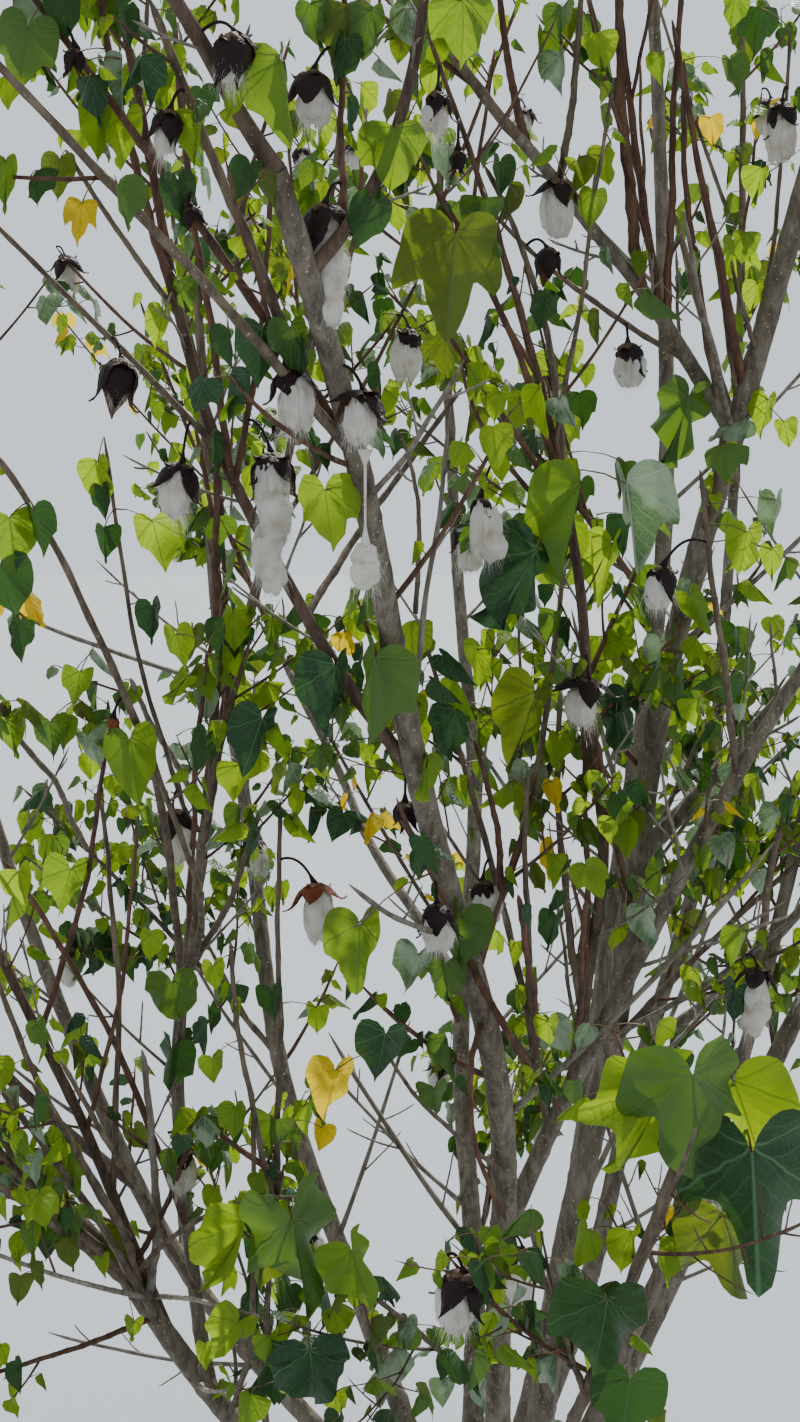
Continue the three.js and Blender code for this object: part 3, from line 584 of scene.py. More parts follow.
# Long bare whips that show from the front: where foot, middle and tip show in the picture, how far
# back the foot and tip stand, the radius that WHIP_THINS thins at foot and tip, and the bark. The foot
# goes to the nearest limb or shoot.
FRONT_WHIPS = (
    ((345, 460), (180, 262), (-45, 20), (-790, -980), 5.6, "grey"),
    ((185, 300), (130, 140), (98, -20), (-780, -820), 4.6, "red"),
    ((160, 320), (115, 235), (66, 150), (-740, -760), 3.4, "grey"),
    ((100, 500), (78, 350), (-30, 200), (-700, -780), 3.8, "grey"),
    ((290, 385), (232, 215), (150, 0), (-860, -880), 6.0, "grey"),
    ((262, 470), (268, 320), (271, 185), (-700, -720), 3.6, "red"),
    ((326, 345), (352, 250), (362, 150), (-640, -660), 3.6, "red"),
    ((303, 618), (378, 505), (462, 388), (-560, -480), 4.4, "grey"),
    ((470, 560), (430, 480), (395, 430), (-520, -560), 3.0, "grey"),
    ((560, 515), (506, 330), (436, 190), (-540, -600), 4.6, "red"),
    ((562, 520), (512, 432), (448, 335), (-500, -600), 4.2, "red"),
    ((490, 548), (474, 450), (462, 365), (-540, -560), 3.2, "red"),
    ((632, 465), (560, 310), (484, 165), (-440, -520), 4.4, "grey"),
    ((645, 390), (570, 300), (492, 212), (-430, -470), 3.8, "grey"),
    ((718, 420), (690, 240), (684, 60), (-420, -420), 4.6, "red"),
    ((752, 410), (716, 240), (676, 50), (-400, -380), 4.4, "grey"),
    ((632, 300), (624, 170), (618, -20), (-430, -440), 7.6, "red"),
    ((666, 330), (671, 180), (682, -20), (-400, -410), 5.0, "red"),
    ((745, 400), (714, 240), (672, 20), (-420, -430), 5.0, "red"),
    ((716, 412), (698, 300), (674, 213), (-440, -450), 3.4, "grey"),
    ((779, 400), (784, 220), (790, 30), (-380, -380), 3.2, "grey"),
    ((756, 362), (742, 310), (731, 260), (-420, -430), 3.2, "grey"),
    ((560, 185), (574, 90), (582, -20), (-430, -440), 5.0, "grey"),
    ((524, 150), (510, 80), (498, -20), (-430, -440), 5.4, "red"),
    ((385, 260), (352, 120), (345, -20), (-760, -800), 3.8, "red"),
    ((216, 310), (232, 250), (247, 190), (-830, -840), 4.0, "grey"),
    ((240, 470), (208, 300), (176, 70), (-800, -820), 4.2, "red"),
    ((238, 1010), (150, 720), (-10, 448), (-560, -760), 5.2, "grey"),
    ((95, 1010), (104, 850), (108, 700), (-500, -520), 3.8, "red"),
    ((132, 1110), (135, 960), (136, 822), (-500, -510), 3.2, "red"),
    ((205, 900), (212, 760), (222, 600), (-500, -520), 4.0, "grey"),
    ((235, 970), (205, 870), (100, 640), (-520, -600), 4.4, "grey"),
    ((140, 1100), (190, 860), (250, 640), (-480, -520), 4.6, "grey"),
    ((161, 935), (186, 800), (211, 640), (-520, -540), 4.0, "red"),
    ((245, 870), (228, 640), (215, 430), (-620, -700), 4.6, "red"),
    ((262, 1212), (275, 1000), (280, 800), (-470, -460), 4.2, "grey"),
    ((252, 1215), (240, 1080), (230, 940), (-480, -500), 4.2, "grey"),
    ((232, 980), (246, 890), (258, 812), (-500, -500), 4.6, "grey"),
    ((470, 1010), (440, 900), (400, 820), (-560, -580), 3.2, "red"),
    ((520, 1040), (523, 900), (528, 770), (-470, -480), 4.4, "grey"),
    ((512, 900), (498, 820), (474, 740), (-470, -500), 4.4, "red"),
    ((560, 1010), (556, 860), (560, 690), (-420, -420), 5.2, "grey"),
    ((590, 1000), (588, 860), (583, 700), (-430, -430), 4.4, "red"),
    ((545, 830), (552, 700), (565, 560), (-440, -440), 4.2, "grey"),
    ((622, 940), (612, 850), (598, 740), (-440, -460), 4.4, "red"),
    ((745, 780), (722, 640), (700, 470), (-500, -560), 4.4, "grey"),
    ((742, 1010), (762, 900), (798, 770), (-420, -430), 6.0, "grey"),
    ((440, 1180), (420, 1120), (385, 1050), (-600, -620), 3.2, "grey"),
    ((190, 1290), (130, 1180), (60, 1060), (-520, -560), 4.4, "grey"),
    ((150, 1330), (80, 1200), (0, 1090), (-500, -540), 5.2, "grey"),
    ((144, 1296), (72, 1238), (-10, 1180), (-420, -620), 5.4, "grey"),
    ((141, 1290), (112, 1210), (30, 1080), (-410, -560), 5.4, "grey"),
    ((136, 1284), (84, 1200), (34, 1176), (-400, -520), 4.2, "pale"),
    ((150, 1300), (157, 1200), (142, 1050), (-340, -360), 6.4, "pale"),
    ((158, 1250), (176, 1190), (203, 1110), (-380, -420), 4.2, "red"),
    ((134, 1278), (205, 1215), (305, 1198), (-430, -520), 3.8, "grey"),
    ((157, 1297), (90, 1285), (-10, 1252), (-430, -600), 3.8, "pale"),
    ((152, 1296), (200, 1301), (262, 1318), (-440, -520), 3.6, "pale"),
    ((236, 1408), (254, 1310), (252, 1120), (-420, -440), 4.6, "grey"),
    ((248, 1174), (228, 1146), (200, 1116), (-430, -450), 4.2, "red"),
    ((150, 1320), (70, 1350), (-10, 1374), (-400, -460), 4.0, "red"),
    ((165, 1418), (198, 1400), (240, 1388), (-420, -440), 3.4, "pale"),
    ((188, 830), (150, 720), (104, 436), (-520, -560), 3.4, "grey"),
    ((182, 817), (220, 640), (194, 424), (-500, -520), 4.0, "red"),
    ((190, 800), (222, 620), (214, 430), (-480, -500), 3.4, "red"),
    ((84, 850), (38, 762), (-10, 694), (-520, -600), 4.6, "grey"),
    ((140, 1240), (60, 1120), (-10, 960), (-440, -560), 5.0, "grey"),
    ((168, 1230), (92, 1010), (2, 860), (-420, -520), 4.6, "red"),
    ((152, 1180), (126, 960), (100, 800), (-380, -420), 4.2, "grey"),
    ((76, 656), (40, 632), (4, 602), (-540, -580), 3.2, "pale"),
    ((164, 806), (152, 741), (130, 678), (-480, -500), 4.4, "pale"),
    ((445, 955), (500, 1030), (562, 1112), (-620, -560), 5.0, "red"),
    ((402, 1040), (450, 1120), (507, 1222), (-640, -580), 3.8, "red"),
    ((575, 1052), (580, 980), (586, 900), (-560, -580), 4.8, "red"),
    ((541, 1060), (532, 980), (518, 895), (-600, -620), 4.8, "red"),
    ((720, 960), (748, 936), (790, 915), (-560, -600), 2.6, "pale"),
)
WHIP_THINS = (0.92, 0.55)
DEPTH_COUNTS = 0.12
LIMB_POINTS = 80
AXIS_POINTS = 30
WHIP_POINTS = 20
TWIG_POINTS = 8
FINE_TWIG_POINTS = 4


def seen_at(places, depths):
    """World places in mm of places in the picture, across and down from its corner, that lie on upright
    planes y = depth. For across and rise from its middle in focal lengths, the line of sight runs
    along (across, cos dip + rise sin dip, rise cos dip - sin dip)."""
    across, down = np.moveaxis(np.asarray(places, float), -1, 0)
    across = (across - PICTURE_WIDTH / 2) / FOCAL_LENGTH
    rise = (PICTURE_HEIGHT / 2 - down) / FOCAL_LENGTH
    forward = math.cos(CAMERA_DIP) + rise * math.sin(CAMERA_DIP)
    sight = np.stack([across, forward, rise * math.cos(CAMERA_DIP) - math.sin(CAMERA_DIP)], axis=-1)
    return CAMERA_AT + sight * ((np.asarray(depths, float) - CAMERA_AT[1]) / forward)[..., None]


def shown_at(points):
    """Places in the picture where world points in mm show: seen_at the other way round."""
    away = points - CAMERA_AT
    forward = away[..., 1] * math.cos(CAMERA_DIP) - away[..., 2] * math.sin(CAMERA_DIP)
    rise = away[..., 1] * math.sin(CAMERA_DIP) + away[..., 2] * math.cos(CAMERA_DIP)
    across = PICTURE_WIDTH / 2 + FOCAL_LENGTH * away[..., 0] / forward
    return np.stack([across, PICTURE_HEIGHT / 2 - FOCAL_LENGTH * rise / forward], axis=-1)


def wood_points(wood, count):
    """Points of all the wood together, at even steps along each piece."""
    return np.concatenate([follow(route, np.linspace(0.04, 1, count))[0] for _, route, _, _ in wood])


def nearest_wood(places, depths, cloud, lift=0.0):
    """The point of the cloud that carries each thing: nearest in the picture to its place less the lift,
    with each millimetre away from its depth counted as DEPTH_COUNTS points of the picture."""
    lifted = (np.asarray(places, float) - (0, lift))[:, None]
    gap = np.linalg.norm(shown_at(cloud)[None] - lifted, axis=-1)
    depth_gap = np.abs(cloud[None, :, 1] - np.asarray(depths, float)[:, None])
    return cloud[np.argmin(gap + DEPTH_COUNTS * depth_gap, axis=1)]


limb_wood = [(0, route, radius, np.linalg.norm(route[2] - route[0])) for route, radius in limbs.values()]
limb_cloud = np.concatenate([wood_points(limb_wood, LIMB_POINTS), wood_points(axes, AXIS_POINTS)])
whip_depths = np.array([row[3] for row in FRONT_WHIPS], float)
three_depths = np.insert(whip_depths, 1, whip_depths.mean(axis=1), axis=1)
whip_spots = seen_at([row[:3] for row in FRONT_WHIPS], three_depths)
whip_feet = nearest_wood([row[0] for row in FRONT_WHIPS], whip_depths[:, 0], limb_cloud)
whip_owners = nearest_shoots(whip_spots[:, 1])
front_whips = []
for owner, foot, (near_foot, middle, tip), row in zip(whip_owners, whip_feet, whip_spots, FRONT_WHIPS):
    length = np.linalg.norm(tip - foot)
    route = (foot, 2 * middle - (near_foot + tip) / 2, tip, SWAY_SHARE * length / 2)
    front_whips.append((owner, route, (row[4] * WHIP_THINS[0], row[4] * WHIP_THINS[1]), length))

# Where the plant is open in the picture: the left, top, right and bottom edge there, and how many of
# the sprays are bare before the depth of OPEN_DEPTH and behind it.
OPEN_VIEWS = (
    (440, -40, 900, 570, 0.86, 0.62),
    (-100, 110, 160, 460, 0.72, 0.5),
    (160, -40, 440, 430, 0.42, 0.42),
    (320, 380, 530, 640, 0.66, 0.55),
    (-100, 460, 800, 1000, 0.22, 0.15),
    (560, 1000, 900, 1300, 0.5, 0.3),
)
OPEN_DEPTH = -200
BARE_SPRAYS = 0.1
BARE_CHANCE = (7, 9)


def bare_share(points):
    """The share of bare sprays at world points, by where they show in the picture and their depth."""
    across, down = shown_at(points).T
    share = np.full(len(points), BARE_SPRAYS)
    for left, top, right, bottom, before, behind in OPEN_VIEWS:
        inside = (across > left) & (across < right) & (down > top) & (down < bottom)
        share[inside] = np.where(points[inside, 1] < OPEN_DEPTH, before, behind)
    return share


def thinned(wood):
    """Twigs without those whose spray is bare."""
    middles = np.array([follow(route, [0.5])[0][0] for _, route, _, _ in wood])
    kept = chance(np.arange(len(wood)), *BARE_CHANCE) >= bare_share(middles)
    return [twig for twig, stays in zip(wood, kept) if stays]


def side_wood(order, carriers, per_carrier, first_key, span=None):
    """Side wood with the same count on each carrier."""
    return branch(order, carriers, [per_carrier] * len(carriers), first_key, span)


shoot_whips = side_wood("whip", axes, WHIPS_PER_SHOOT, 50)
whips = shoot_whips + front_whips
twigs = branch("twig", axes, [shoot[-1] for shoot in SHOOTS.values()], 0)
fine_twigs = side_wood("fine", shoot_whips + twigs, FINE_TWIGS, 100)
fine_twigs = thinned(fine_twigs + side_wood("fine", front_whips, TIP_TWIGS, 400, TIP_TWIG_SPAN))
sprigs = thinned(side_wood("sprig", limb_wood, SPRIGS, 450))
dry_twigs = side_wood("dry", limb_wood, DRY_TWIGS, 500)
dry_twigs = dry_twigs + side_wood("dry", dry_twigs, DRY_FINE_TWIGS, 600)


def grow_wood(name, wood, kind, material, nodes=shoot_names):
    """Shoots or twigs of one kind as one piece: round tubes that thin evenly and end in a bud, swell at
    each leaf by LEAF_SWELL and turn there by ZIGZAG of their radius, to this side and that."""
    ring = np.arange(WOOD_RINGS[kind])
    t = np.linspace(0, 1, len(ring))
    centre, _, across, over = follow([np.array(part) for part in zip(*(w[1] for w in wood))], t)
    girth = np.stack([between(w[2], t) for w in wood])
    girth[:, -1] *= BUD
    centre = centre + across * (girth * (ZIGZAG * np.sin(np.pi * ring / 3)))[..., None]
    girth = girth * (1 + LEAF_SWELL * (ring % 3 == 1))
    shape = tubes(centre, across, over, girth[..., None].repeat(WOOD_SIDES[kind], 2))
    add_piece(name, shape, material, nodes)


GREY_FROM = 5.5
GREY_BELOW = 900
shoot_bark = bark_material("red_shoot_bark", "#70503f", "#422d25", "#947863", 0.7)
whip_bark = bark_material("grey_whip_bark", "#7c6c5b", "#4a3e34", "#9c8e7a", 0.68)
# Pale bark: a paler grey for the whips that show near white, the extra paleness painted sunlight.
pale_bark_with_painted_sun = bark_material("pale_whip_bark_with_painted_sun", "#a79d92", "#6e655c", "#c2b8aa", 0.68)
is_red = [number % 2 and route[0][2] > GREY_BELOW for number, (_, route, _, _) in enumerate(shoot_whips)]
whip_looks = ["red" if red else "grey" for red in is_red] + [row[5] for row in FRONT_WHIPS]
for look, bark in (("red", shoot_bark), ("grey", whip_bark), ("pale", pale_bark_with_painted_sun)):
    chosen = [whip for whip, its_look in zip(whips, whip_looks) if its_look == look]
    grow_wood(look + "_whip_wood", chosen, "whip", bark)
is_old = [radius[0] >= GREY_FROM or route[0][2] < GREY_BELOW for _, route, radius, _ in axes]
grow_wood("old_shoot_wood", [axis for axis, old in zip(axes, is_old) if old], "axis", whip_bark)
grow_wood("young_shoot_wood", [axis for axis, old in zip(axes, is_old) if not old], "axis", shoot_bark)
grow_wood("twig_wood", twigs, "twig", shoot_bark)
grow_wood("fine_twig_wood", fine_twigs + sprigs, "fine", shoot_bark)

# Dry twigs: dead leafless wood left from earlier years, bleached grey by the weather. They stand off
# the stems and boughs, and bear finer dry twigs of their own.
dry_bark = bark_material("dry_twig_bark", "#8d8578", "#5a5248", "#aba294", 0.7)
grow_wood("dry_twig_wood", dry_twigs, "dry", dry_bark, ())


# Leaves: thin green blades on long stalks, heart-shaped with a deep bay at the stalk. Small ones have
# one point, and most large ones three. They stand alternately, hang from their stalks and fold back
# along the midrib, and their colour goes by how the sun meets them: light and shade painted into it.
LEAF_STANDS = {
    "axis": dict(apart=20, length=(24, 64), span=(0.2, 1.0)),
    "whip": dict(apart=22, length=(20, 46), span=(0.35, 1.0)),
    "bare": dict(apart=26, length=(20, 42), span=(0.72, 1.0)),
    "twig": dict(apart=15, length=(22, 56), span=(0.2, 1.0)),
    "fine": dict(apart=13, length=(19, 48), span=(0.25, 1.0)),
}
SMALL_ONES = 1.4
STALK_SHARE = (0.45, 0.85)
RISE = (-15, 55)
DROOP = (30, 92)
TWIST = (-55, 55)
ROLL = (-48, 48)
FOLD = (8, 74)
LOBE_TURN = math.radians(50)
EDGE_WAVES = 7
# Half outlines from the bay to the tip, in hundredths of the blade's length, in three degrees of lobing.
HEART = (
    (4, -11), (16, -20), (30, -21), (42, -13), (48, 2), (49, 17), (46, 32), (40, 46), (32, 59), (23, 71),
    (14, 82), (6, 92), (0, 100),
)
SHALLOW = (
    (4, -13), (17, -24), (34, -26), (49, -16), (56, 2), (57, 18), (57, 34), (53, 53), (43, 51), (34, 52),
    (22, 72), (11, 87), (0, 100),
)
LOBED = (
    (4, -13), (18, -25), (38, -26), (54, -14), (60, 2), (63, 18), (68, 36), (67, 60), (45, 48), (31, 44),
    (29, 66), (14, 85), (0, 102),
)
OUTLINES = np.array([HEART, SHALLOW, LOBED]) / 100
# Blades by length in mm: the rings from stalk to edge, and how fine the outline is drawn.
BLADE_GRIDS = (
    (0, 32, (0.5, 1.0), "coarse"),
    (32, 50, (0.5, 1.0), "plain"),
    (50, 70, (0.36, 0.7, 1.0), "plain"),
    (70, 200, (0.14, 0.28, 0.42, 0.56, 0.71, 0.86, 1.0), "fine"),
)


def leaf_spots(wood, kind, seed):
    """Where leaves stand on the wood: by even steps along it, each a golden turn from the last."""
    stand = LEAF_STANDS[kind]
    spots = []
    for number, (owner, route, _, length) in enumerate(wood):
        key = seed + number
        count = max(2, round(length * (1 - stand["span"][0]) / stand["apart"]))
        shares = between(stand["span"], (np.arange(count) + 0.7) / count)
        root = follow(route, np.minimum(shares, 1))[0]
        turn = GOLDEN_TURN * (np.arange(count) + 2 * key)
        spots.append((np.full(count, owner), root, turn, np.full(count, key)))
    owner, root, turn, spray = (np.concatenate(part) for part in zip(*spots))
    random = np.random.default_rng(seed)
    size = between(stand["length"], random.random(len(root)) ** SMALL_ONES)
    return owner, root, turn + random.uniform(0, 1, len(root)), spray, size


def hang_leaves(owner, root, turn, spray, size, seed):
    """Poses of leaves: the stalk rises from the twig at its turn, and the blade hangs from its end."""
    random = np.random.default_rng(seed)
    angles = (np.radians(random.uniform(*limits, len(root))) for limits in (RISE, DROOP, TWIST, ROLL))
    rise, droop, twist, roll = (angle[:, None] for angle in angles)
    heading = np.stack([np.cos(turn), np.sin(turn), 0 * turn], axis=-1)
    stalk = heading * np.cos(rise) + UP * np.sin(rise)
    base = root + stalk * (size * random.uniform(*STALK_SHARE, len(root)))[:, None]
    facing = heading * np.cos(twist) + np.cross(UP, heading) * np.sin(twist)
    blade = facing * np.cos(droop) - UP * np.sin(droop)
    level = np.cross(facing, UP)
    side = level * np.cos(roll) + np.cross(blade, level) * np.sin(roll)
    fold = np.radians(between(FOLD, random.random(len(root))))
    return dict(owner=owner, root=root, base=base, blade=blade, side=side, size=size, spray=spray, fold=fold)


def pick(leaves, chosen):
    """Each value of the leaves, indexed by the chosen ones."""
    return {key: value[chosen] for key, value in leaves.items()}


def blade_surface(leaves, x, y):
    """Points of blades over flat places x, y in shares of the length. Each half is folded back about the
    midrib, and the blade then stands off its plane by swell r sin^2(pi a / lobe turn) + wave r^2 sin(7a +
    phase) - sag (0.6 y|y| + 0.8 x^2), for the place's distance r and angle a from the midrib."""
    leaf = pick(leaves, (slice(None),) + (None,) * (x.ndim - 1))
    x, y = x * leaf["wide"], np.where(y < 0, y * leaf["bay"], y)
    r = np.hypot(x, y)
    angle = np.arctan2(x, y)
    height = -leaf["sag"] * (0.6 * y * np.abs(y) + 0.8 * x * x)
    height = height + leaf["swell"] * r * np.sin(np.pi * angle / LOBE_TURN) ** 2
    height = height + leaf["wave"] * r * r * np.sin(EDGE_WAVES * angle + leaf["phase"])
    x = x * (1 + leaf["skew"] * np.sign(x))
    fold = leaf["fold"]
    out = x * np.cos(fold) + height * np.sign(x) * np.sin(fold)
    back = np.abs(x) * np.sin(fold) - height * np.cos(fold)
    reach = out[..., None] * leaf["side"] + y[..., None] * leaf["blade"] - back[..., None] * leaf["face"]
    return leaf["base"] + leaf["size"][..., None] * reach


def smoother(outline):
    """Outlines with one more point between each two, on a cubic: (9 (b + c) - a - d) / 16."""
    ends = np.concatenate([outline[:, :1], outline, outline[:, -1:]], axis=1)
    full = np.empty((len(outline), 2 * outline.shape[1] - 1, 2))
    full[:, ::2] = outline
    full[:, 1::2] = (9 * (ends[:, 1:-2] + ends[:, 2:-1]) - ends[:, :-3] - ends[:, 3:]) / 16
    return full


def blade_mesh(leaves, rings, drawn):
    """Blades as rings of their own outline, with a fan at the stalk. The last two of the five numbers of
    a vertex are its flat place x, y. The outline goes from the heart by the shallow one to the lobed one
    as the lobing goes from 0 by a half to 1."""
    twice = 2 * leaves["lobing"][:, None]
    heart, lobed = np.clip(1 - twice, 0, 1), np.clip(twice - 1, 0, 1)
    weights = np.concatenate([heart, 1 - np.abs(twice - 1), lobed], axis=1)
    half = np.tensordot(weights, OUTLINES, axes=(1, 0))
    half = {"coarse": half[:, ::2], "plain": half, "fine": smoother(half)}[drawn]
    outline = np.concatenate([half[:, :-1] * (-1, 1), half[:, ::-1]], axis=1)
    places = outline[:, None] * np.array(rings)[:, None, None]
    points = blade_surface(leaves, places[..., 0], places[..., 1])
    count, ring_count, angles, _ = points.shape
    points = np.concatenate([points, places], axis=-1).reshape(count, -1, 5)
    stalk_end = np.concatenate([leaves["base"], np.zeros((count, 2))], axis=-1)
    vertices = np.concatenate([stalk_end[:, None], points], axis=1)
    first = np.arange(1, angles)
    faces = 1 + grid_faces(ring_count, angles), np.stack([0 * first, first, first + 1], axis=-1)
    return vertices.reshape(-1, 5), [repeated(part, count, vertices.shape[1]) for part in faces]


def joined(*shapes):
    """Shapes as one: their vertices in a row, and their faces counted on."""
    starts = np.cumsum([0] + [len(vertices) for vertices, _ in shapes])
    faces = [part + start for (_, parts), start in zip(shapes, starts) for part in parts]
    return np.concatenate([vertices for vertices, _ in shapes]), faces


# The leaves that grow by rule. Each spray has the number of its wood. From THINNED_KEYS on that wood is
# thinned already, and from SPRIG_KEYS on it is the short twigs of the limbs themselves. A leaf is kept
# where its base, tip, middle and the middles of its two sides are clear of other things.
THINNED_KEYS = 3000
SPRIG_KEYS = 6000
FRONT_SHRINKS = 0.85
FRONT_FROM = -850
SHED_LEAVES = 0.08
LEAF_OVER = 30
LEAF_ROOM = 3.0
all_wood = (
    (axes, "axis", 1000),
    (shoot_whips, "whip", 1500),
    (front_whips, "bare", 1700),
    (twigs, "twig", 2000),
    (fine_twigs, "fine", THINNED_KEYS),
    (sprigs, "fine", SPRIG_KEYS),
)
groups = [hang_leaves(*leaf_spots(wood, kind, seed), seed + 1) for wood, kind, seed in all_wood]
leaves = {key: np.concatenate([group[key] for group in groups]) for key in groups[0]}
length = leaves["size"][:, None]
middle = leaves["base"] + leaves["blade"] * length * 0.5
lobes = [middle + turn * leaves["side"] * length * 0.4 for turn in (-1, 1)]
marks = np.stack([leaves["base"], middle, leaves["base"] + leaves["blade"] * length, *lobes], axis=1)
on_sprig = leaves["spray"] >= SPRIG_KEYS
leaves["size"] = leaves["size"] * np.where(leaves["base"][:, 1] < FRONT_FROM, FRONT_SHRINKS, 1)
bare = (leaves["spray"] < THINNED_KEYS) & (chance(leaves["spray"], *BARE_CHANCE) < bare_share(leaves["base"]))
shed = np.random.default_rng(3).random(len(bare)) < SHED_LEAVES
inside = clear_of_limbs(marks, LEAF_ROOM) & in_reach(marks, LEAF_OVER)
inside = inside & (on_sprig | in_own_space(leaves["owner"], marks, LEAF_ROOM))
leaves = pick(leaves, inside & ~bare & ~shed)
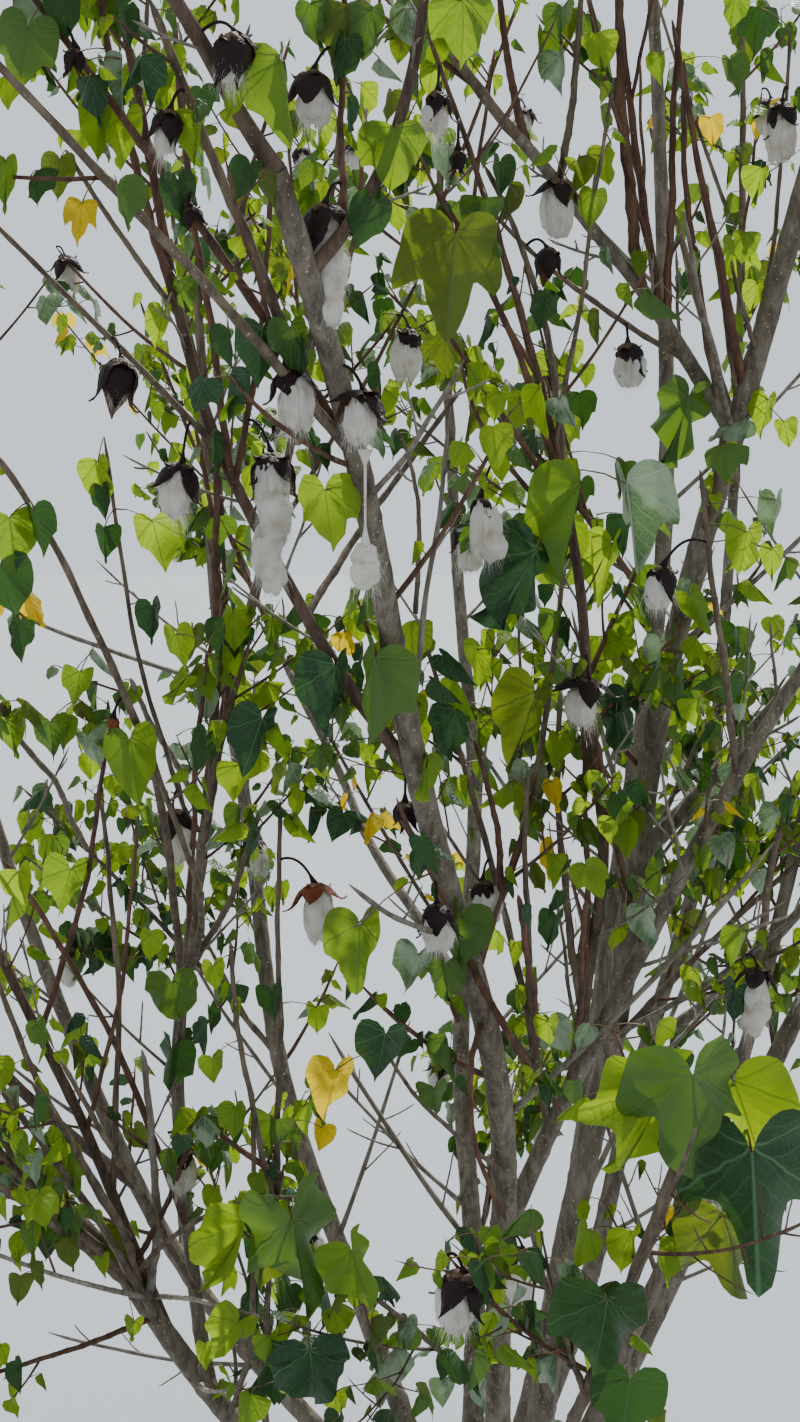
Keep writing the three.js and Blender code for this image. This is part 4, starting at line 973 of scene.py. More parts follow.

# The leaves that show from the front: where the stalk's end shows in the picture, how far back it
# stands, length, lean of the tip to the right, turn away from the front and fold in degrees, lobing
# from 0 to 1, and kind, whose colour is painted light and shade, save for the yellow ageing ones.
FRONT_LEAVES = (
    ((455, 236), -700, 96, -5, 8, 24, 0.9, "olive"),
    ((580, 486), -760, 104, -8, 56, 56, 0.4, "lime"),
    ((626, 484), -780, 92, 10, -46, 40, 0.6, "shining"),
    ((612, 545), -740, 78, -10, 25, 46, 0.2, "sunlit"),
    ((620, 640), -730, 45, -10, -20, 20, 0.1, "sunlit"),
    ((535, 553), -700, 100, -25, 24, 38, 0.25, "shaded"),
    ((535, 695), -690, 96, -15, 20, 46, 0.35, "olive"),
    ((689, 398), -760, 84, -15, 10, 52, 0.4, "green"),
    ((748, 420), -760, 50, -70, -10, 44, 0.1, "shining"),
    ((335, 668), -680, 75, -5, 30, 38, 0.3, "shaded"),
    ((375, 660), -690, 85, -5, -45, 30, 0.4, "green"),
    ((455, 712), -660, 60, 0, 15, 30, 0.0, "shaded"),
    ((693, 1076), -980, 100, 5, 6, 34, 0.95, "green"),
    ((735, 1085), -960, 84, 20, -35, 30, 0.6, "sunlit"),
    ((665, 1085), -1000, 98, -15, 40, 36, 0.8, "sunlit"),
    ((752, 1154), -1010, 128, 6, -12, 34, 0.75, "shaded"),
    ((607, 1302), -930, 78, -6, 5, 16, 0.6, "deep"),
    ((630, 1380), -940, 70, -5, -4, 12, 0.3, "deep"),
    ((722, 1215), -960, 92, 20, 14, 24, 0.8, "olive"),
    ((632, 1232), -930, 45, 0, 30, 30, 0.1, "sunlit"),
    ((660, 1240), -920, 50, 10, -50, 30, 0.2, "lime"),
    ((292, 1222), -640, 132, 8, 12, 44, 0.8, "green"),
    ((310, 1353), -660, 86, 5, 4, 14, 0.5, "shaded"),
    ((245, 1222), -620, 100, -20, 60, 34, 0.4, "sunlit"),
    ((262, 1240), -600, 70, -10, -50, 34, 0.3, "olive"),
    ((352, 1250), -600, 75, 15, 30, 40, 0.3, "lime"),
    ((238, 1322), -640, 60, -35, 20, 30, 0.3, "sunlit"),
    ((250, 165), -900, 35, -15, 30, 30, 0.2, "deep"),
    ((82, 203), -900, 36, -5, 12, 40, 1.0, "ageing"),
    ((335, 1070), -560, 62, -10, 16, 34, 0.15, "ageing"),
    ((322, 1128), -560, 36, -8, -12, 30, 0.1, "ageing"),
    ((345, 632), -680, 35, 10, 30, 30, 0.2, "ageing"),
    ((0, 565), -1020, 60, 5, -20, 30, 0.2, "deep"),
    ((130, 740), -620, 70, 5, 15, 34, 0.1, "lime"),
    ((153, 522), -640, 55, 5, -10, 16, 0.3, "sunlit"),
    ((385, 1035), -560, 60, -10, 10, 24, 0.3, "shaded"),
    ((172, 982), -500, 65, 5, 0, 20, 0.4, "green"),
    ((360, 925), -560, 75, -5, 20, 36, 0.3, "lime"),
    ((460, 915), -560, 70, -5, -30, 36, 0.3, "green"),
    ((462, 0), -900, 55, 5, 10, 24, 0.6, "lime"),
    ((372, 10), -900, 48, -10, 20, 30, 0.4, "green"),
    ((345, 40), -920, 45, -15, -20, 30, 0.3, "deep"),
    ((28, 28), -960, 52, -5, 10, 20, 0.5, "green"),
    ((395, 130), -860, 58, -10, 15, 24, 0.6, "lime"),
    ((372, 205), -860, 40, -10, 0, 24, 0.3, "deep"),
    ((275, 1120), -520, 55, -15, 10, 20, 0.4, "green"),
    ((240, 765), -560, 48, 0, 20, 24, 0.2, "sunlit"),
    ((150, 935), -540, 34, 0, 0, 20, 0.1, "sunlit"),
    ((70, 870), -600, 62, -15, 20, 34, 0.4, "lime"),
    ((172, 1050), -520, 64, -5, -20, 40, 0.4, "deep"),
    ((98, 462), -760, 50, 5, 30, 40, 0.1, "sunlit"),
    ((262, 330), -800, 52, -5, 20, 34, 0.2, "shaded"),
    ((325, 490), -740, 60, 5, -10, 30, 0.7, "sunlit"),
    ((300, 340), -780, 46, 10, 10, 40, 0.2, "deep"),
    ((281, 60), -900, 68, 5, 45, 40, 0.3, "lime"),
    ((310, 4), -880, 44, 10, -20, 30, 0.4, "green"),
    ((348, 8), -900, 58, 0, 20, 36, 0.4, "olive"),
    ((238, 88), -900, 30, -10, 20, 30, 0.2, "sunlit"),
    ((140, 60), -880, 40, 15, -30, 44, 0.3, "shaded"),
    ((165, 70), -880, 32, -10, 30, 40, 0.2, "lime"),
    ((126, 116), -860, 44, 5, 10, 30, 0.3, "sunlit"),
    ((196, 114), -880, 44, 5, 25, 40, 0.2, "sunlit"),
    ((90, 78), -880, 42, 10, -10, 36, 0.3, "shaded"),
    ((60, 160), -860, 38, -10, 20, 34, 0.4, "olive"),
    ((178, 180), -860, 48, 0, 5, 30, 0.3, "deep"),
    ((118, 185), -860, 38, 5, -25, 36, 0.3, "green"),
    ((6, 160), -860, 44, -5, 20, 40, 0.3, "lime"),
    ((62, -4), -900, 38, 5, 15, 34, 0.3, "deep"),
    ((125, 10), -900, 32, 10, -20, 40, 0.2, "deep"),
    ((163, 312), -800, 38, -5, 20, 36, 0.2, "sunlit"),
    ((178, 282), -800, 34, 10, -15, 36, 0.3, "green"),
    ((290, 328), -800, 40, -5, 10, 30, 0.4, "green"),
    ((228, 330), -800, 34, 5, 40, 50, 0.2, "deep"),
    ((562, 8), -460, 38, 0, 30, 40, 0.2, "green"),
    ((596, 34), -460, 42, 5, -10, 30, 0.2, "sunlit"),
    ((560, 54), -460, 44, 5, 25, 40, 0.4, "shining"),
    ((448, 146), -600, 42, 10, 15, 44, 0.4, "shining"),
    ((500, 162), -520, 38, 0, -15, 36, 0.2, "deep"),
    ((486, 198), -560, 44, -5, 15, 30, 0.5, "green"),
    ((594, 194), -460, 36, 5, 15, 36, 0.2, "lime"),
    ((710, 118), -460, 34, 15, -10, 30, 0.3, "ageing"),
    ((660, 56), -460, 30, 10, 20, 40, 0.1, "lime"),
    ((735, -4), -440, 36, 5, -15, 36, 0.3, "lime"),
    ((760, 8), -460, 56, -5, 15, 34, 0.5, "deep"),
    ((762, 168), -460, 44, -5, 20, 40, 0.2, "sunlit"),
    ((745, 232), -460, 36, 5, -15, 36, 0.2, "lime"),
    ((757, 284), -460, 38, 5, 15, 30, 0.2, "sunlit"),
    ((700, 254), -460, 34, -5, 25, 44, 0.2, "green"),
    ((642, 254), -460, 26, 0, 10, 30, 0.1, "lime"),
    ((768, 400), -480, 46, 0, 25, 44, 0.2, "sunlit"),
    ((784, 422), -480, 34, 5, -20, 40, 0.2, "sunlit"),
    ((500, 392), -580, 34, -5, 15, 36, 0.2, "sunlit"),
    ((526, 404), -580, 34, 5, -15, 40, 0.3, "olive"),
    ((560, 400), -560, 38, 25, 15, 44, 0.2, "shining"),
    ((625, 462), -560, 42, -10, -10, 40, 0.3, "green"),
    ((548, 300), -520, 36, -10, 20, 40, 0.3, "deep"),
    ((605, 150), -460, 40, 5, 20, 44, 0.2, "sunlit"),
    ((730, 60), -460, 40, 5, -20, 44, 0.3, "green"),
    ((9, 518), -640, 56, 5, 15, 40, 0.3, "lime"),
    ((33, 512), -640, 44, 5, -20, 44, 0.3, "deep"),
    ((102, 488), -640, 34, -5, 20, 40, 0.3, "deep"),
    ((104, 528), -620, 40, 5, -15, 36, 0.2, "deep"),
    ((152, 606), -600, 44, -5, 20, 40, 0.3, "shaded"),
    ((188, 676), -560, 42, -40, 20, 50, 0.2, "sunlit"),
    ((50, 722), -600, 46, 0, 10, 34, 0.2, "green"),
    ((88, 736), -600, 40, 5, -20, 40, 0.3, "shining"),
    ((262, 720), -620, 66, -20, 30, 40, 0.2, "shaded"),
    ((206, 736), -600, 44, -10, 15, 40, 0.3, "deep"),
    ((80, 672), -600, 44, -10, 20, 40, 0.4, "lime"),
    ((176, 634), -600, 42, 5, -15, 40, 0.3, "sunlit"),
    ((8, 722), -640, 44, 5, 15, 40, 0.2, "lime"),
    ((629, 516), -720, 52, 5, 20, 40, 0.3, "shaded"),
    ((618, 616), -700, 48, 5, -10, 40, 0.3, "lime"),
    ((557, 612), -640, 44, -10, 20, 36, 0.2, "green"),
    ((660, 642), -600, 44, 5, 20, 40, 0.4, "shining"),
    ((690, 596), -600, 48, 30, -20, 50, 0.2, "lime"),
    ((747, 532), -520, 50, -5, 15, 36, 0.2, "sunlit"),
    ((772, 550), -520, 36, 5, -10, 34, 0.1, "sunlit"),
    ((776, 500), -520, 46, 5, 15, 44, 0.4, "shining"),
    ((625, 690), -640, 42, -5, 20, 40, 0.2, "shaded"),
    ((616, 716), -620, 56, 0, -15, 40, 0.2, "shaded"),
    ((584, 802), -560, 22, -30, 10, 30, 0.1, "sunlit"),
    ((613, 818), -560, 36, -5, 15, 36, 0.2, "sunlit"),
    ((697, 700), -560, 40, 5, 20, 40, 0.3, "sunlit"),
    ((778, 810), -520, 36, -25, 20, 40, 0.3, "shining"),
    ((700, 852), -540, 34, 5, -15, 40, 0.2, "lime"),
    ((556, 915), -520, 46, 0, 15, 44, 0.3, "deep"),
    ((418, 955), -560, 52, -5, 20, 36, 0.3, "shining"),
    ((446, 965), -560, 56, 5, -10, 36, 0.3, "green"),
    ((548, 1022), -500, 34, 5, 15, 36, 0.2, "sunlit"),
    ((534, 1074), -480, 34, -15, 20, 40, 0.2, "lime"),
    ((740, 930), -520, 44, 0, 15, 36, 0.3, "lime"),
    ((736, 990), -520, 44, 5, -20, 40, 0.3, "shaded"),
    ((434, 1088), -560, 40, -5, 15, 40, 0.3, "green"),
    ((33, 1158), -560, 34, 5, 15, 40, 0.3, "shining"),
    ((60, 1210), -540, 34, -5, -15, 40, 0.2, "deep"),
    ((102, 1258), -480, 30, 0, 15, 40, 0.2, "sunlit"),
    ((134, 1322), -440, 34, -10, 10, 36, 0.2, "sunlit"),
    ((10, 1140), -560, 40, 10, -10, 40, 0.2, "lime"),
    ((18, 872), -600, 48, 0, 15, 36, 0.3, "sunlit"),
    ((272, 990), -520, 44, 0, 20, 40, 0.2, "deep"),
    ((316, 1008), -540, 36, 10, -15, 36, 0.2, "sunlit"),
    ((213, 966), -520, 34, 0, 10, 36, 0.2, "sunlit"),
    ((212, 1058), -500, 32, 5, 15, 30, 0.3, "lime"),
)
# The bolls that show from the front: where the pod's top shows in the picture, how far back it hangs,
# how far its lint hangs, 0 for an empty one, how far its valves come down in degrees, how large it is
# against a ripe one, and its colour.
FRONT_BOLLS = (
    ((365, 395), -960, 36, 56, 1.05, "dark"),
    ((272, 456), -830, 132, 76, 1.15, "dark"),
    ((312, 74), -950, 36, 74, 1.1, "dark"),
    ((238, 36), -960, 26, 96, 1.15, "dark"),
    ((170, 112), -900, 22, 94, 0.9, "dark"),
    ((190, 208), -880, 0, 88, 0.55, "dark"),
    ((182, 466), -720, 44, 70, 1.0, "dark"),
    ((122, 362), -760, 14, 102, 1.35, "dark"),
    ((285, 372), -780, 52, 70, 0.9, "dark"),
    ((325, 205), -840, 104, 76, 1.05, "dark"),
    ((560, 180), -480, 52, 62, 1.0, "dark"),
    ((548, 250), -470, 0, 90, 1.0, "dark"),
    ((628, 345), -420, 40, 90, 1.0, "dark"),
    ((662, 568), -700, 34, 96, 1.0, "dark"),
    ((588, 680), -640, 46, 46, 1.0, "dark"),
    ((480, 500), -560, 64, 84, 0.7, "dark"),
    ((315, 885), -640, 56, 62, 1.0, "rusty"),
    ((437, 905), -560, 42, 84, 1.0, "dark"),
    ((482, 882), -520, 40, 90, 1.0, "dark"),
    ((405, 803), -640, 0, 100, 0.8, "dark"),
    ((172, 812), -420, 56, 66, 1.0, "dark"),
    ((76, 50), -900, 0, 92, 0.6, "dark"),
    ((782, 104), -620, 60, 84, 1.0, "dark"),
    ((458, 152), -560, 0, 96, 0.6, "dark"),
    ((438, 92), -700, 30, 88, 0.8, "dark"),
    ((113, 718), -620, 0, 104, 0.42, "rusty"),
)
LEAN_STRAYS = (-12, 12)
TIP_BACK = 0.25
FACES_UP = 0.3
LARGE_FRONT = 60
CLEAR_OF_BOLLS = 30
STALK_LIFT = 12
STALK_FORWARD = 18
LARGE_STAND_OUT = 0.8
HIDES_BEFORE = 20
front = np.array([row[1:7] for row in FRONT_LEAVES], float)
depth, size, lean, away, fold, front_lobing = front.T
random = np.random.default_rng(17)
strays = random.uniform(*LEAN_STRAYS, (2, len(front))) * (size < LARGE_FRONT)
lean, away = np.radians((lean, away) + strays)
side_cloud = wood_points(whips, WHIP_POINTS), wood_points(twigs, TWIG_POINTS)
boll_carriers = np.concatenate([limb_cloud, *side_cloud])
leaf_carriers = np.concatenate([boll_carriers, wood_points(fine_twigs, FINE_TWIG_POINTS)])
front_places = [row[0] for row in FRONT_LEAVES]
front_root = nearest_wood(front_places, depth, leaf_carriers, STALK_LIFT)
stands_out = STALK_FORWARD + LARGE_STAND_OUT * np.maximum(size - LARGE_FRONT, 0)
front_base = seen_at(front_places, front_root[:, 1] - stands_out)
front_blade = unit(np.stack([np.sin(lean), TIP_BACK * np.cos(away), -np.cos(lean)], axis=-1))
front_facing = np.stack([np.sin(away), -np.cos(away), FACES_UP + 0 * away], axis=-1)
front_leaves = dict(
    owner=np.zeros(len(front), int),
    root=front_root,
    base=front_base,
    blade=front_blade,
    side=unit(np.cross(front_blade, front_facing)),
    size=size,
    spray=np.arange(len(front)),
    fold=np.radians(fold),
)

# Leaves that would hide one of these leaves or bolls from the front are left out.
boll_places = [row[0] for row in FRONT_BOLLS]
boll_root = nearest_wood(boll_places, [row[1] for row in FRONT_BOLLS], boll_carriers, 2 * STALK_LIFT)
boll_spots = seen_at(boll_places, boll_root[:, 1] - STALK_FORWARD)
boll_hangs = CLEAR_OF_BOLLS + np.array([row[2] for row in FRONT_BOLLS]) / 2
things = np.concatenate([front_base + front_blade * size[:, None] / 2, boll_spots - UP * boll_hangs[:, None]])
things_reach = np.concatenate([size / 2, boll_hangs]) * FOCAL_LENGTH / (things[:, 1] - CAMERA_AT[1])
leaf_middle = leaves["base"] + leaves["blade"] * leaves["size"][:, None] / 2
picture_gap = np.linalg.norm(shown_at(leaf_middle)[:, None] - shown_at(things), axis=-1)
is_before = leaf_middle[:, None, 1] < things[:, 1] + HIDES_BEFORE
leaves = pick(leaves, ~((picture_gap < things_reach) & is_before).any(axis=1))
scattered = len(leaves["size"])
leaves = {key: np.concatenate([leaves[key], front_leaves[key]]) for key in leaves}
leaves["face"] = np.cross(leaves["side"], leaves["blade"])

# How blades differ from their outline, and how that grows with their length. The large ones in front
# are of one width, with deeper pleats and wavier edges. Half the leaves take the colour of their spray
# and half their own, from the shares of the kinds low and high in the plant: higher up, more take the
# painted sunlit kinds and fewer the painted shade ones.
BLADE_VARIES = dict(
    lobing=(-0.35, 0.5),
    sag=(0.05, 0.5),
    swell=(0.05, 0.14),
    wave=(0.03, 0.09),
    wide=(0.72, 1.04),
    bay=(0.1, 1),
    skew=(-0.12, 0.12),
    phase=(0, 6.28),
)
GROWS_FROM = 32
GROWS_BY = 50
LOBES_WITH_AGE = 0.5
WAVES_WITH_AGE = 1.4
LARGE_WIDE = 0.88
LARGE_BAY = 0.9
PLEATS_DEEPER = 1.9
EDGES_WAVIER = 1.3
# Kinds of leaf colour, all but ageing painted light and shade: sunlit and lime painted sunlight, deep and
# shaded painted shade, shining a painted sheen of the sky, green and olive the shades between.
LEAF_KINDS = ("sunlit", "lime", "green", "olive", "deep", "shaded", "shining", "ageing")
KIND_SHARES_LOW = np.array((0.17, 0.18, 0.20, 0.11, 0.15, 0.09, 0.088, 0.012))
KIND_SHARES_HIGH = np.array((0.25, 0.21, 0.18, 0.09, 0.11, 0.05, 0.095, 0.015))
PAINTED_SUN_FROM = 700
PAINTED_SUN_OVER = 1100
leaf_count = len(leaves["size"])
random = np.random.default_rng(7)
for key, limits in BLADE_VARIES.items():
    leaves[key] = random.uniform(*limits, leaf_count)
full_grown = np.clip((leaves["size"] - GROWS_FROM) / GROWS_BY, 0, 1)
leaves["lobing"] = np.clip(leaves["lobing"] + LOBES_WITH_AGE * full_grown, 0, 1)
leaves["lobing"][scattered:] = front_lobing
leaves["wave"] *= 1 + WAVES_WITH_AGE * full_grown
large_front = (np.arange(leaf_count) >= scattered) & (leaves["size"] >= LARGE_FRONT)
leaves["wide"][large_front] = LARGE_WIDE
leaves["bay"][large_front] = LARGE_BAY
leaves["swell"][large_front] *= PLEATS_DEEPER
leaves["wave"][large_front] *= EDGES_WAVIER
luck = np.where(random.random(leaf_count) < 0.5, chance(leaves["spray"], 3, 5), random.random(leaf_count))
height = np.clip((leaves["base"][:, 2:] - PAINTED_SUN_FROM) / PAINTED_SUN_OVER, 0, 1)
edges = np.cumsum(KIND_SHARES_LOW + (KIND_SHARES_HIGH - KIND_SHARES_LOW) * height, axis=1)
leaf_kind = (luck[:, None] > edges[:, :-1]).sum(axis=1)
leaf_kind[scattered:] = [LEAF_KINDS.index(row[7]) for row in FRONT_LEAVES]

# How a leaf's veins and relief follow from its flat place x, y, in steps of one sum each: the result,
# the operation, and what it works on. Five main veins leave the stalk, at 0 and at the two turns to each
# side, and side veins leave the midrib and the lobes' veins at even gaps. A LINEAR step takes a value
# between two limits to a value between two others.
LOBE_VEIN = math.radians(49)
BAY_VEIN = math.radians(97)
VEIN_SLOPE = 1.18
VEIN_GAP = 0.19
LEAF_SUMS = (
    ("side", "ABSOLUTE", "x"),
    ("along", "MULTIPLY_ADD", "stray", 0.09, "y"),
    ("lobe_side", "MULTIPLY", "side", math.cos(LOBE_VEIN)),
    ("lobe_across", "MULTIPLY_ADD", "along", -math.sin(LOBE_VEIN), "lobe_side"),
    ("lobe_gap", "ABSOLUTE", "lobe_across"),
    ("lobe_ahead", "MULTIPLY", "side", math.sin(LOBE_VEIN)),
    ("lobe_along", "MULTIPLY_ADD", "along", math.cos(LOBE_VEIN), "lobe_ahead"),
    ("bay_side", "MULTIPLY", "side", math.cos(BAY_VEIN)),
    ("bay_across", "MULTIPLY_ADD", "along", -math.sin(BAY_VEIN), "bay_side"),
    ("bay_gap", "ABSOLUTE", "bay_across"),
    ("near_lobe", "MINIMUM", "side", "lobe_gap"),
    ("near_any", "MINIMUM", "near_lobe", "bay_gap"),
    ("main_vein", "LINEAR", "near_any", 0.005, 0.017, 1.0, 0.0),
    ("inner_rows", "MULTIPLY_ADD", "side", -VEIN_SLOPE, "along"),
    ("outer_rows", "MULTIPLY_ADD", "lobe_gap", -VEIN_SLOPE, "lobe_along"),
    ("is_outer", "GREATER_THAN", "lobe_across", 0.0),
    ("rows_differ", "SUBTRACT", "outer_rows", "inner_rows"),
    ("rows", "MULTIPLY_ADD", "is_outer", "rows_differ", "inner_rows"),
    ("row_steps", "DIVIDE", "rows", VEIN_GAP),
    ("half_gap", "PINGPONG", "row_steps", 0.5),
    ("in_gap", "MULTIPLY", "half_gap", 2.0),
    ("side_vein", "LINEAR", "in_gap", 0.03, 0.14, 0.4, 0.0),
    ("net_vein", "LINEAR", "cell", 0.0, 0.07, 0.25, 0.0),
    ("large_veins", "MAXIMUM", "main_vein", "side_vein"),
    ("all_veins", "MAXIMUM", "large_veins", "net_vein"),
    ("vein", "MULTIPLY", "all_veins", 0.85),
    ("puff", "POWER", "in_gap", 0.4),
    ("puff_height", "MULTIPLY", "puff", 0.4),
    ("cell_height", "MULTIPLY_ADD", "cell", 0.7, "puff_height"),
    ("relief", "MULTIPLY_ADD", "main_vein", -0.8, "cell_height"),
)


def leaf_material(name, top, mottle, net, through, roughness, gloss, see, patch):
    """A living leaf: a waxy face over soft green flesh that glows where light falls on its other side,
    mottled over some 40 mm, softly or in crisp patches; on the sky-shining kind those patches are a
    painted sheen of the sky. Its veins are paler and sunk in the face, which swells between them, with a
    fine net of veins 7 mm apart."""
    material = new_material(name)
    flat = add_node(material, "UVMap", {"uv_map": "place"})
    stray = add_node(material, "TexNoise", {"Scale": 5, "Detail": 1}, Vector=flat)
    parts = add_node(material, "SeparateXYZ", Vector=flat).outputs
    place = add_node(material, "TexCoord").outputs["Object"]
    cloud = add_node(material, "TexNoise", {"Scale": 26, "Detail": 3}, Vector=place)
    patches = add_node(material, "MapRange", {1: 0.5 - patch, 2: 0.5 + patch}, _0=cloud)
    cells = add_node(material, "TexVoronoi", {"feature": "DISTANCE_TO_EDGE", "Scale": 140}, Vector=place)
    sums = dict(x=parts[0], y=parts[1], stray=stray, cell=cells)
    for result, operation, *values in LEAF_SUMS:
        kind, setting = ("MapRange", "interpolation_type") if operation == "LINEAR" else ("Math", "operation")
        settings = {i: value for i, value in enumerate(values) if not isinstance(value, str)}
        links = {f"_{i}": sums[value] for i, value in enumerate(values) if isinstance(value, str)}
        sums[result] = add_node(material, kind, {setting: operation, **settings}, **links)
    green = add_node(material, "Mix", {"data_type": "RGBA", 6: top, 7: mottle}, _0=patches)
    colour = add_node(material, "Mix", {"data_type": "RGBA", 7: net}, _0=sums["vein"], _6=green)
    glow = add_node(material, "Mix", {"data_type": "RGBA", 6: through, 7: top}, _0=sums["vein"])
    bump = add_node(material, "Bump", {"Strength": 0.7, "Distance": 0.0016}, Height=sums["relief"])
    finish = {"Roughness": roughness, "Specular IOR Level": gloss}
    face = add_node(material, "BsdfPrincipled", finish, Base_Color=colour, Normal=bump)
    flesh = add_node(material, "BsdfTranslucent", Color=glow, Normal=bump)
    return end_material(material, add_node(material, "MixShader", {0: see}, _1=face, _2=flesh))


# Each kind's material and slot, its face's two colours, the veins' colour and the colour of the light
# that comes through, then roughness, gloss, how much light comes through, and how soft its mottle is.
# Apart from ageing, the kinds are one leaf in painted light and shade: the sunlit and lime faces are
# painted sunlight, the deep and shaded ones painted shade, and the pale face of sky_shining a painted
# sheen of the sky.
LEAF_LOOKS = (
    ("sunlit_leaf", "foliage_bright", "#6c8a1a", "#547617", "#8aa43c", "#a8c414", 0.5, 0.4, 0.52, 0.4),
    ("lime_leaf", "foliage_bright", "#567a1b", "#446617", "#74903a", "#8caa12", 0.48, 0.4, 0.47, 0.4),
    ("green_leaf", "foliage", "#3f6420", "#30501b", "#5e7e40", "#6a8a18", 0.42, 0.5, 0.4, 0.4),
    ("olive_leaf", "foliage", "#4e5e1e", "#3f4f19", "#6a7640", "#788a12", 0.5, 0.35, 0.42, 0.4),
    ("deep_leaf", "foliage", "#26491c", "#1a3815", "#4f7040", "#3c6414", 0.46, 0.32, 0.27, 0.3),
    ("shaded_leaf", "foliage", "#214423", "#17331a", "#557a50", "#345c1c", 0.46, 0.34, 0.2, 0.3),
    ("sky_shining_leaf", "foliage_pale", "#909e86", "#3a5832", "#a6b59c", "#6c8e48", 0.4, 0.5, 0.22, 0.07),
    ("ageing_leaf", "foliage_yellow", "#d2ae0c", "#a89a18", "#cdb440", "#f4d010", 0.55, 0.3, 0.52, 0.14),
)
for number, (name, slot, *look) in enumerate(LEAF_LOOKS):
    shapes = []
    for least, most, rings, drawn in BLADE_GRIDS:
        chosen = (leaf_kind == number) & (leaves["size"] > least) & (leaves["size"] <= most)
        if chosen.any():
            shapes.append(blade_mesh(pick(leaves, chosen), rings, drawn))
    vertices, faces = joined(*shapes)
    blades = vertices[:, :3], faces
    look = leaf_material(name, *look)
    add_piece(name.replace("leaf", "leaves"), blades, look, shoot_names, vertices[:, 3:])

# Leaf stalks: thin smooth skin over tough flesh, red and green in turns of some 50 mm. They arch up from
# the twig, and are thicker at both ends.
STALK_SIDES = 3
STALK_RINGS = 4
STALK_ARCH = 0.18
STALK_GIRTH = ((0, 0.15, 0.85, 1), (1.6, 1.0, 0.9, 1.3))
FULL_STALK_LEAF = 90


def stalks(route, girth, rings, sides, scale=1.0):
    """Round stalks along routes of foot, control point and tip: their radius goes by the girth's shares
    of the way and radii there, times the scale."""
    t = np.linspace(0, 1, rings)
    count = len(route[0])
    centre, _, across, over = follow((*route, np.zeros(count)), t)
    radius = np.interp(t, *girth)[None, :, None] * scale * np.ones((count, 1, sides))
    return tubes(centre, across, over, radius)


stalk_skin = new_material("leaf_stalk_skin")
stalk_place = add_node(stalk_skin, "TexCoord").outputs["Object"]
stalk_cloud = add_node(stalk_skin, "TexNoise", {"Scale": 18, "Detail": 2}, Vector=stalk_place)
stalk_colour = add_node(stalk_skin, "Mix", {"data_type": "RGBA", 6: "#6e382c", 7: "#6c7030"}, _0=stalk_cloud)
end_material(stalk_skin, add_node(stalk_skin, "BsdfPrincipled", {"Roughness": 0.5}, Base_Color=stalk_colour))
reach = np.linalg.norm(leaves["base"] - leaves["root"], axis=-1, keepdims=True)
control = (leaves["root"] + leaves["base"]) / 2 + UP * reach * STALK_ARCH
stalk_scale = (0.4 + 0.6 * leaves["size"] / FULL_STALK_LEAF)[:, None, None]
stalk_route = leaves["root"], control, leaves["base"]
leaf_stalks = stalks(stalk_route, STALK_GIRTH, STALK_RINGS, STALK_SIDES, stalk_scale)
add_piece("leaf_stalks", leaf_stalks, stalk_skin, shoot_names)


# Bolls: ripe seed pods that hang open on thin dark stalks. Each has four dry valves, nearly black
# outside and brown inside, that arch out from the top, come down round the lint and end in a fine
# hook, and the withered rest of its bracts on top.
VALVES = dict(
    count=4,
    length=50,
    half_width=12,
    widths=((0, 0.12, 0.35, 0.6, 0.78, 0.88, 1), (0.35, 0.75, 1, 0.82, 0.4, 0.14, 0.03)),
    start=-0.25,
    curl=1.3,
    seed=21,
)
BRACTS = dict(
    count=3,
    length=21,
    half_width=7,
    widths=((0, 0.4, 0.8, 1), (0.4, 1, 0.8, 0.2)),
    start=-0.7,
    curl=2.2,
    seed=22,
)
VALVE_THICK = 1.2
SHEET_STEPS = 13
SHEET_STRIPS = 7
BENDS_OVER = 0.55
HOOKS_OVER = 0.2
EDGE_BOW = 0.4
SHEET_VARIES = dict(spread=(-0.2, 0.2), curl=(0.6, 1.2), length=(0.85, 1.1), torn=(-0.5, 0.5))
BRACTS_DOWN = 0.5
TUFT_LENGTH = (38, 80)
VALVES_DOWN = (58, 100)
BOLLS_PER_SHOOT = 2
OFF_THE_TIP = (14, 0, -16)
POD_TILT = (-0.3, 0.3)
boll_rows = [(*spot, *row[2:5]) for spot, row in zip(boll_spots, FRONT_BOLLS)]
boll_owners = nearest_shoots(boll_spots)
boll_root = list(boll_root)
for number in range(len(SHOOTS)):
    tips = [route[2] for owner, route, _, _ in twigs + whips if owner == number]
    for i, tip in enumerate(tips[:BOLLS_PER_SHOOT] if number not in boll_owners else []):
        boll_root.append(tip)
        hangs = between(TUFT_LENGTH, chance(number, i, 9))
        boll_rows.append((*(tip + OFF_THE_TIP), hangs, between(VALVES_DOWN, chance(number, i, 19)), 1.0))
boll_root, boll_rows = np.array(boll_root), np.array(boll_rows)
boll_top = boll_rows[:, :3]
tuft, valves_down, boll_size = boll_rows[:, 3:].T
valves_down = np.radians(valves_down)
boll_count = len(boll_rows)
every_boll = np.ones(boll_count, bool)
boll_is_rusty = ~every_boll
boll_is_rusty[: len(FRONT_BOLLS)] = [row[5] == "rusty" for row in FRONT_BOLLS]
random = np.random.default_rng(11)
down = unit(np.stack([*random.uniform(*POD_TILT, (2, boll_count)), -np.ones(boll_count)], axis=-1))
boll_side = unit(np.cross(down, (0.0, 1.0, 0.0)))
boll_front = np.cross(down, boll_side)


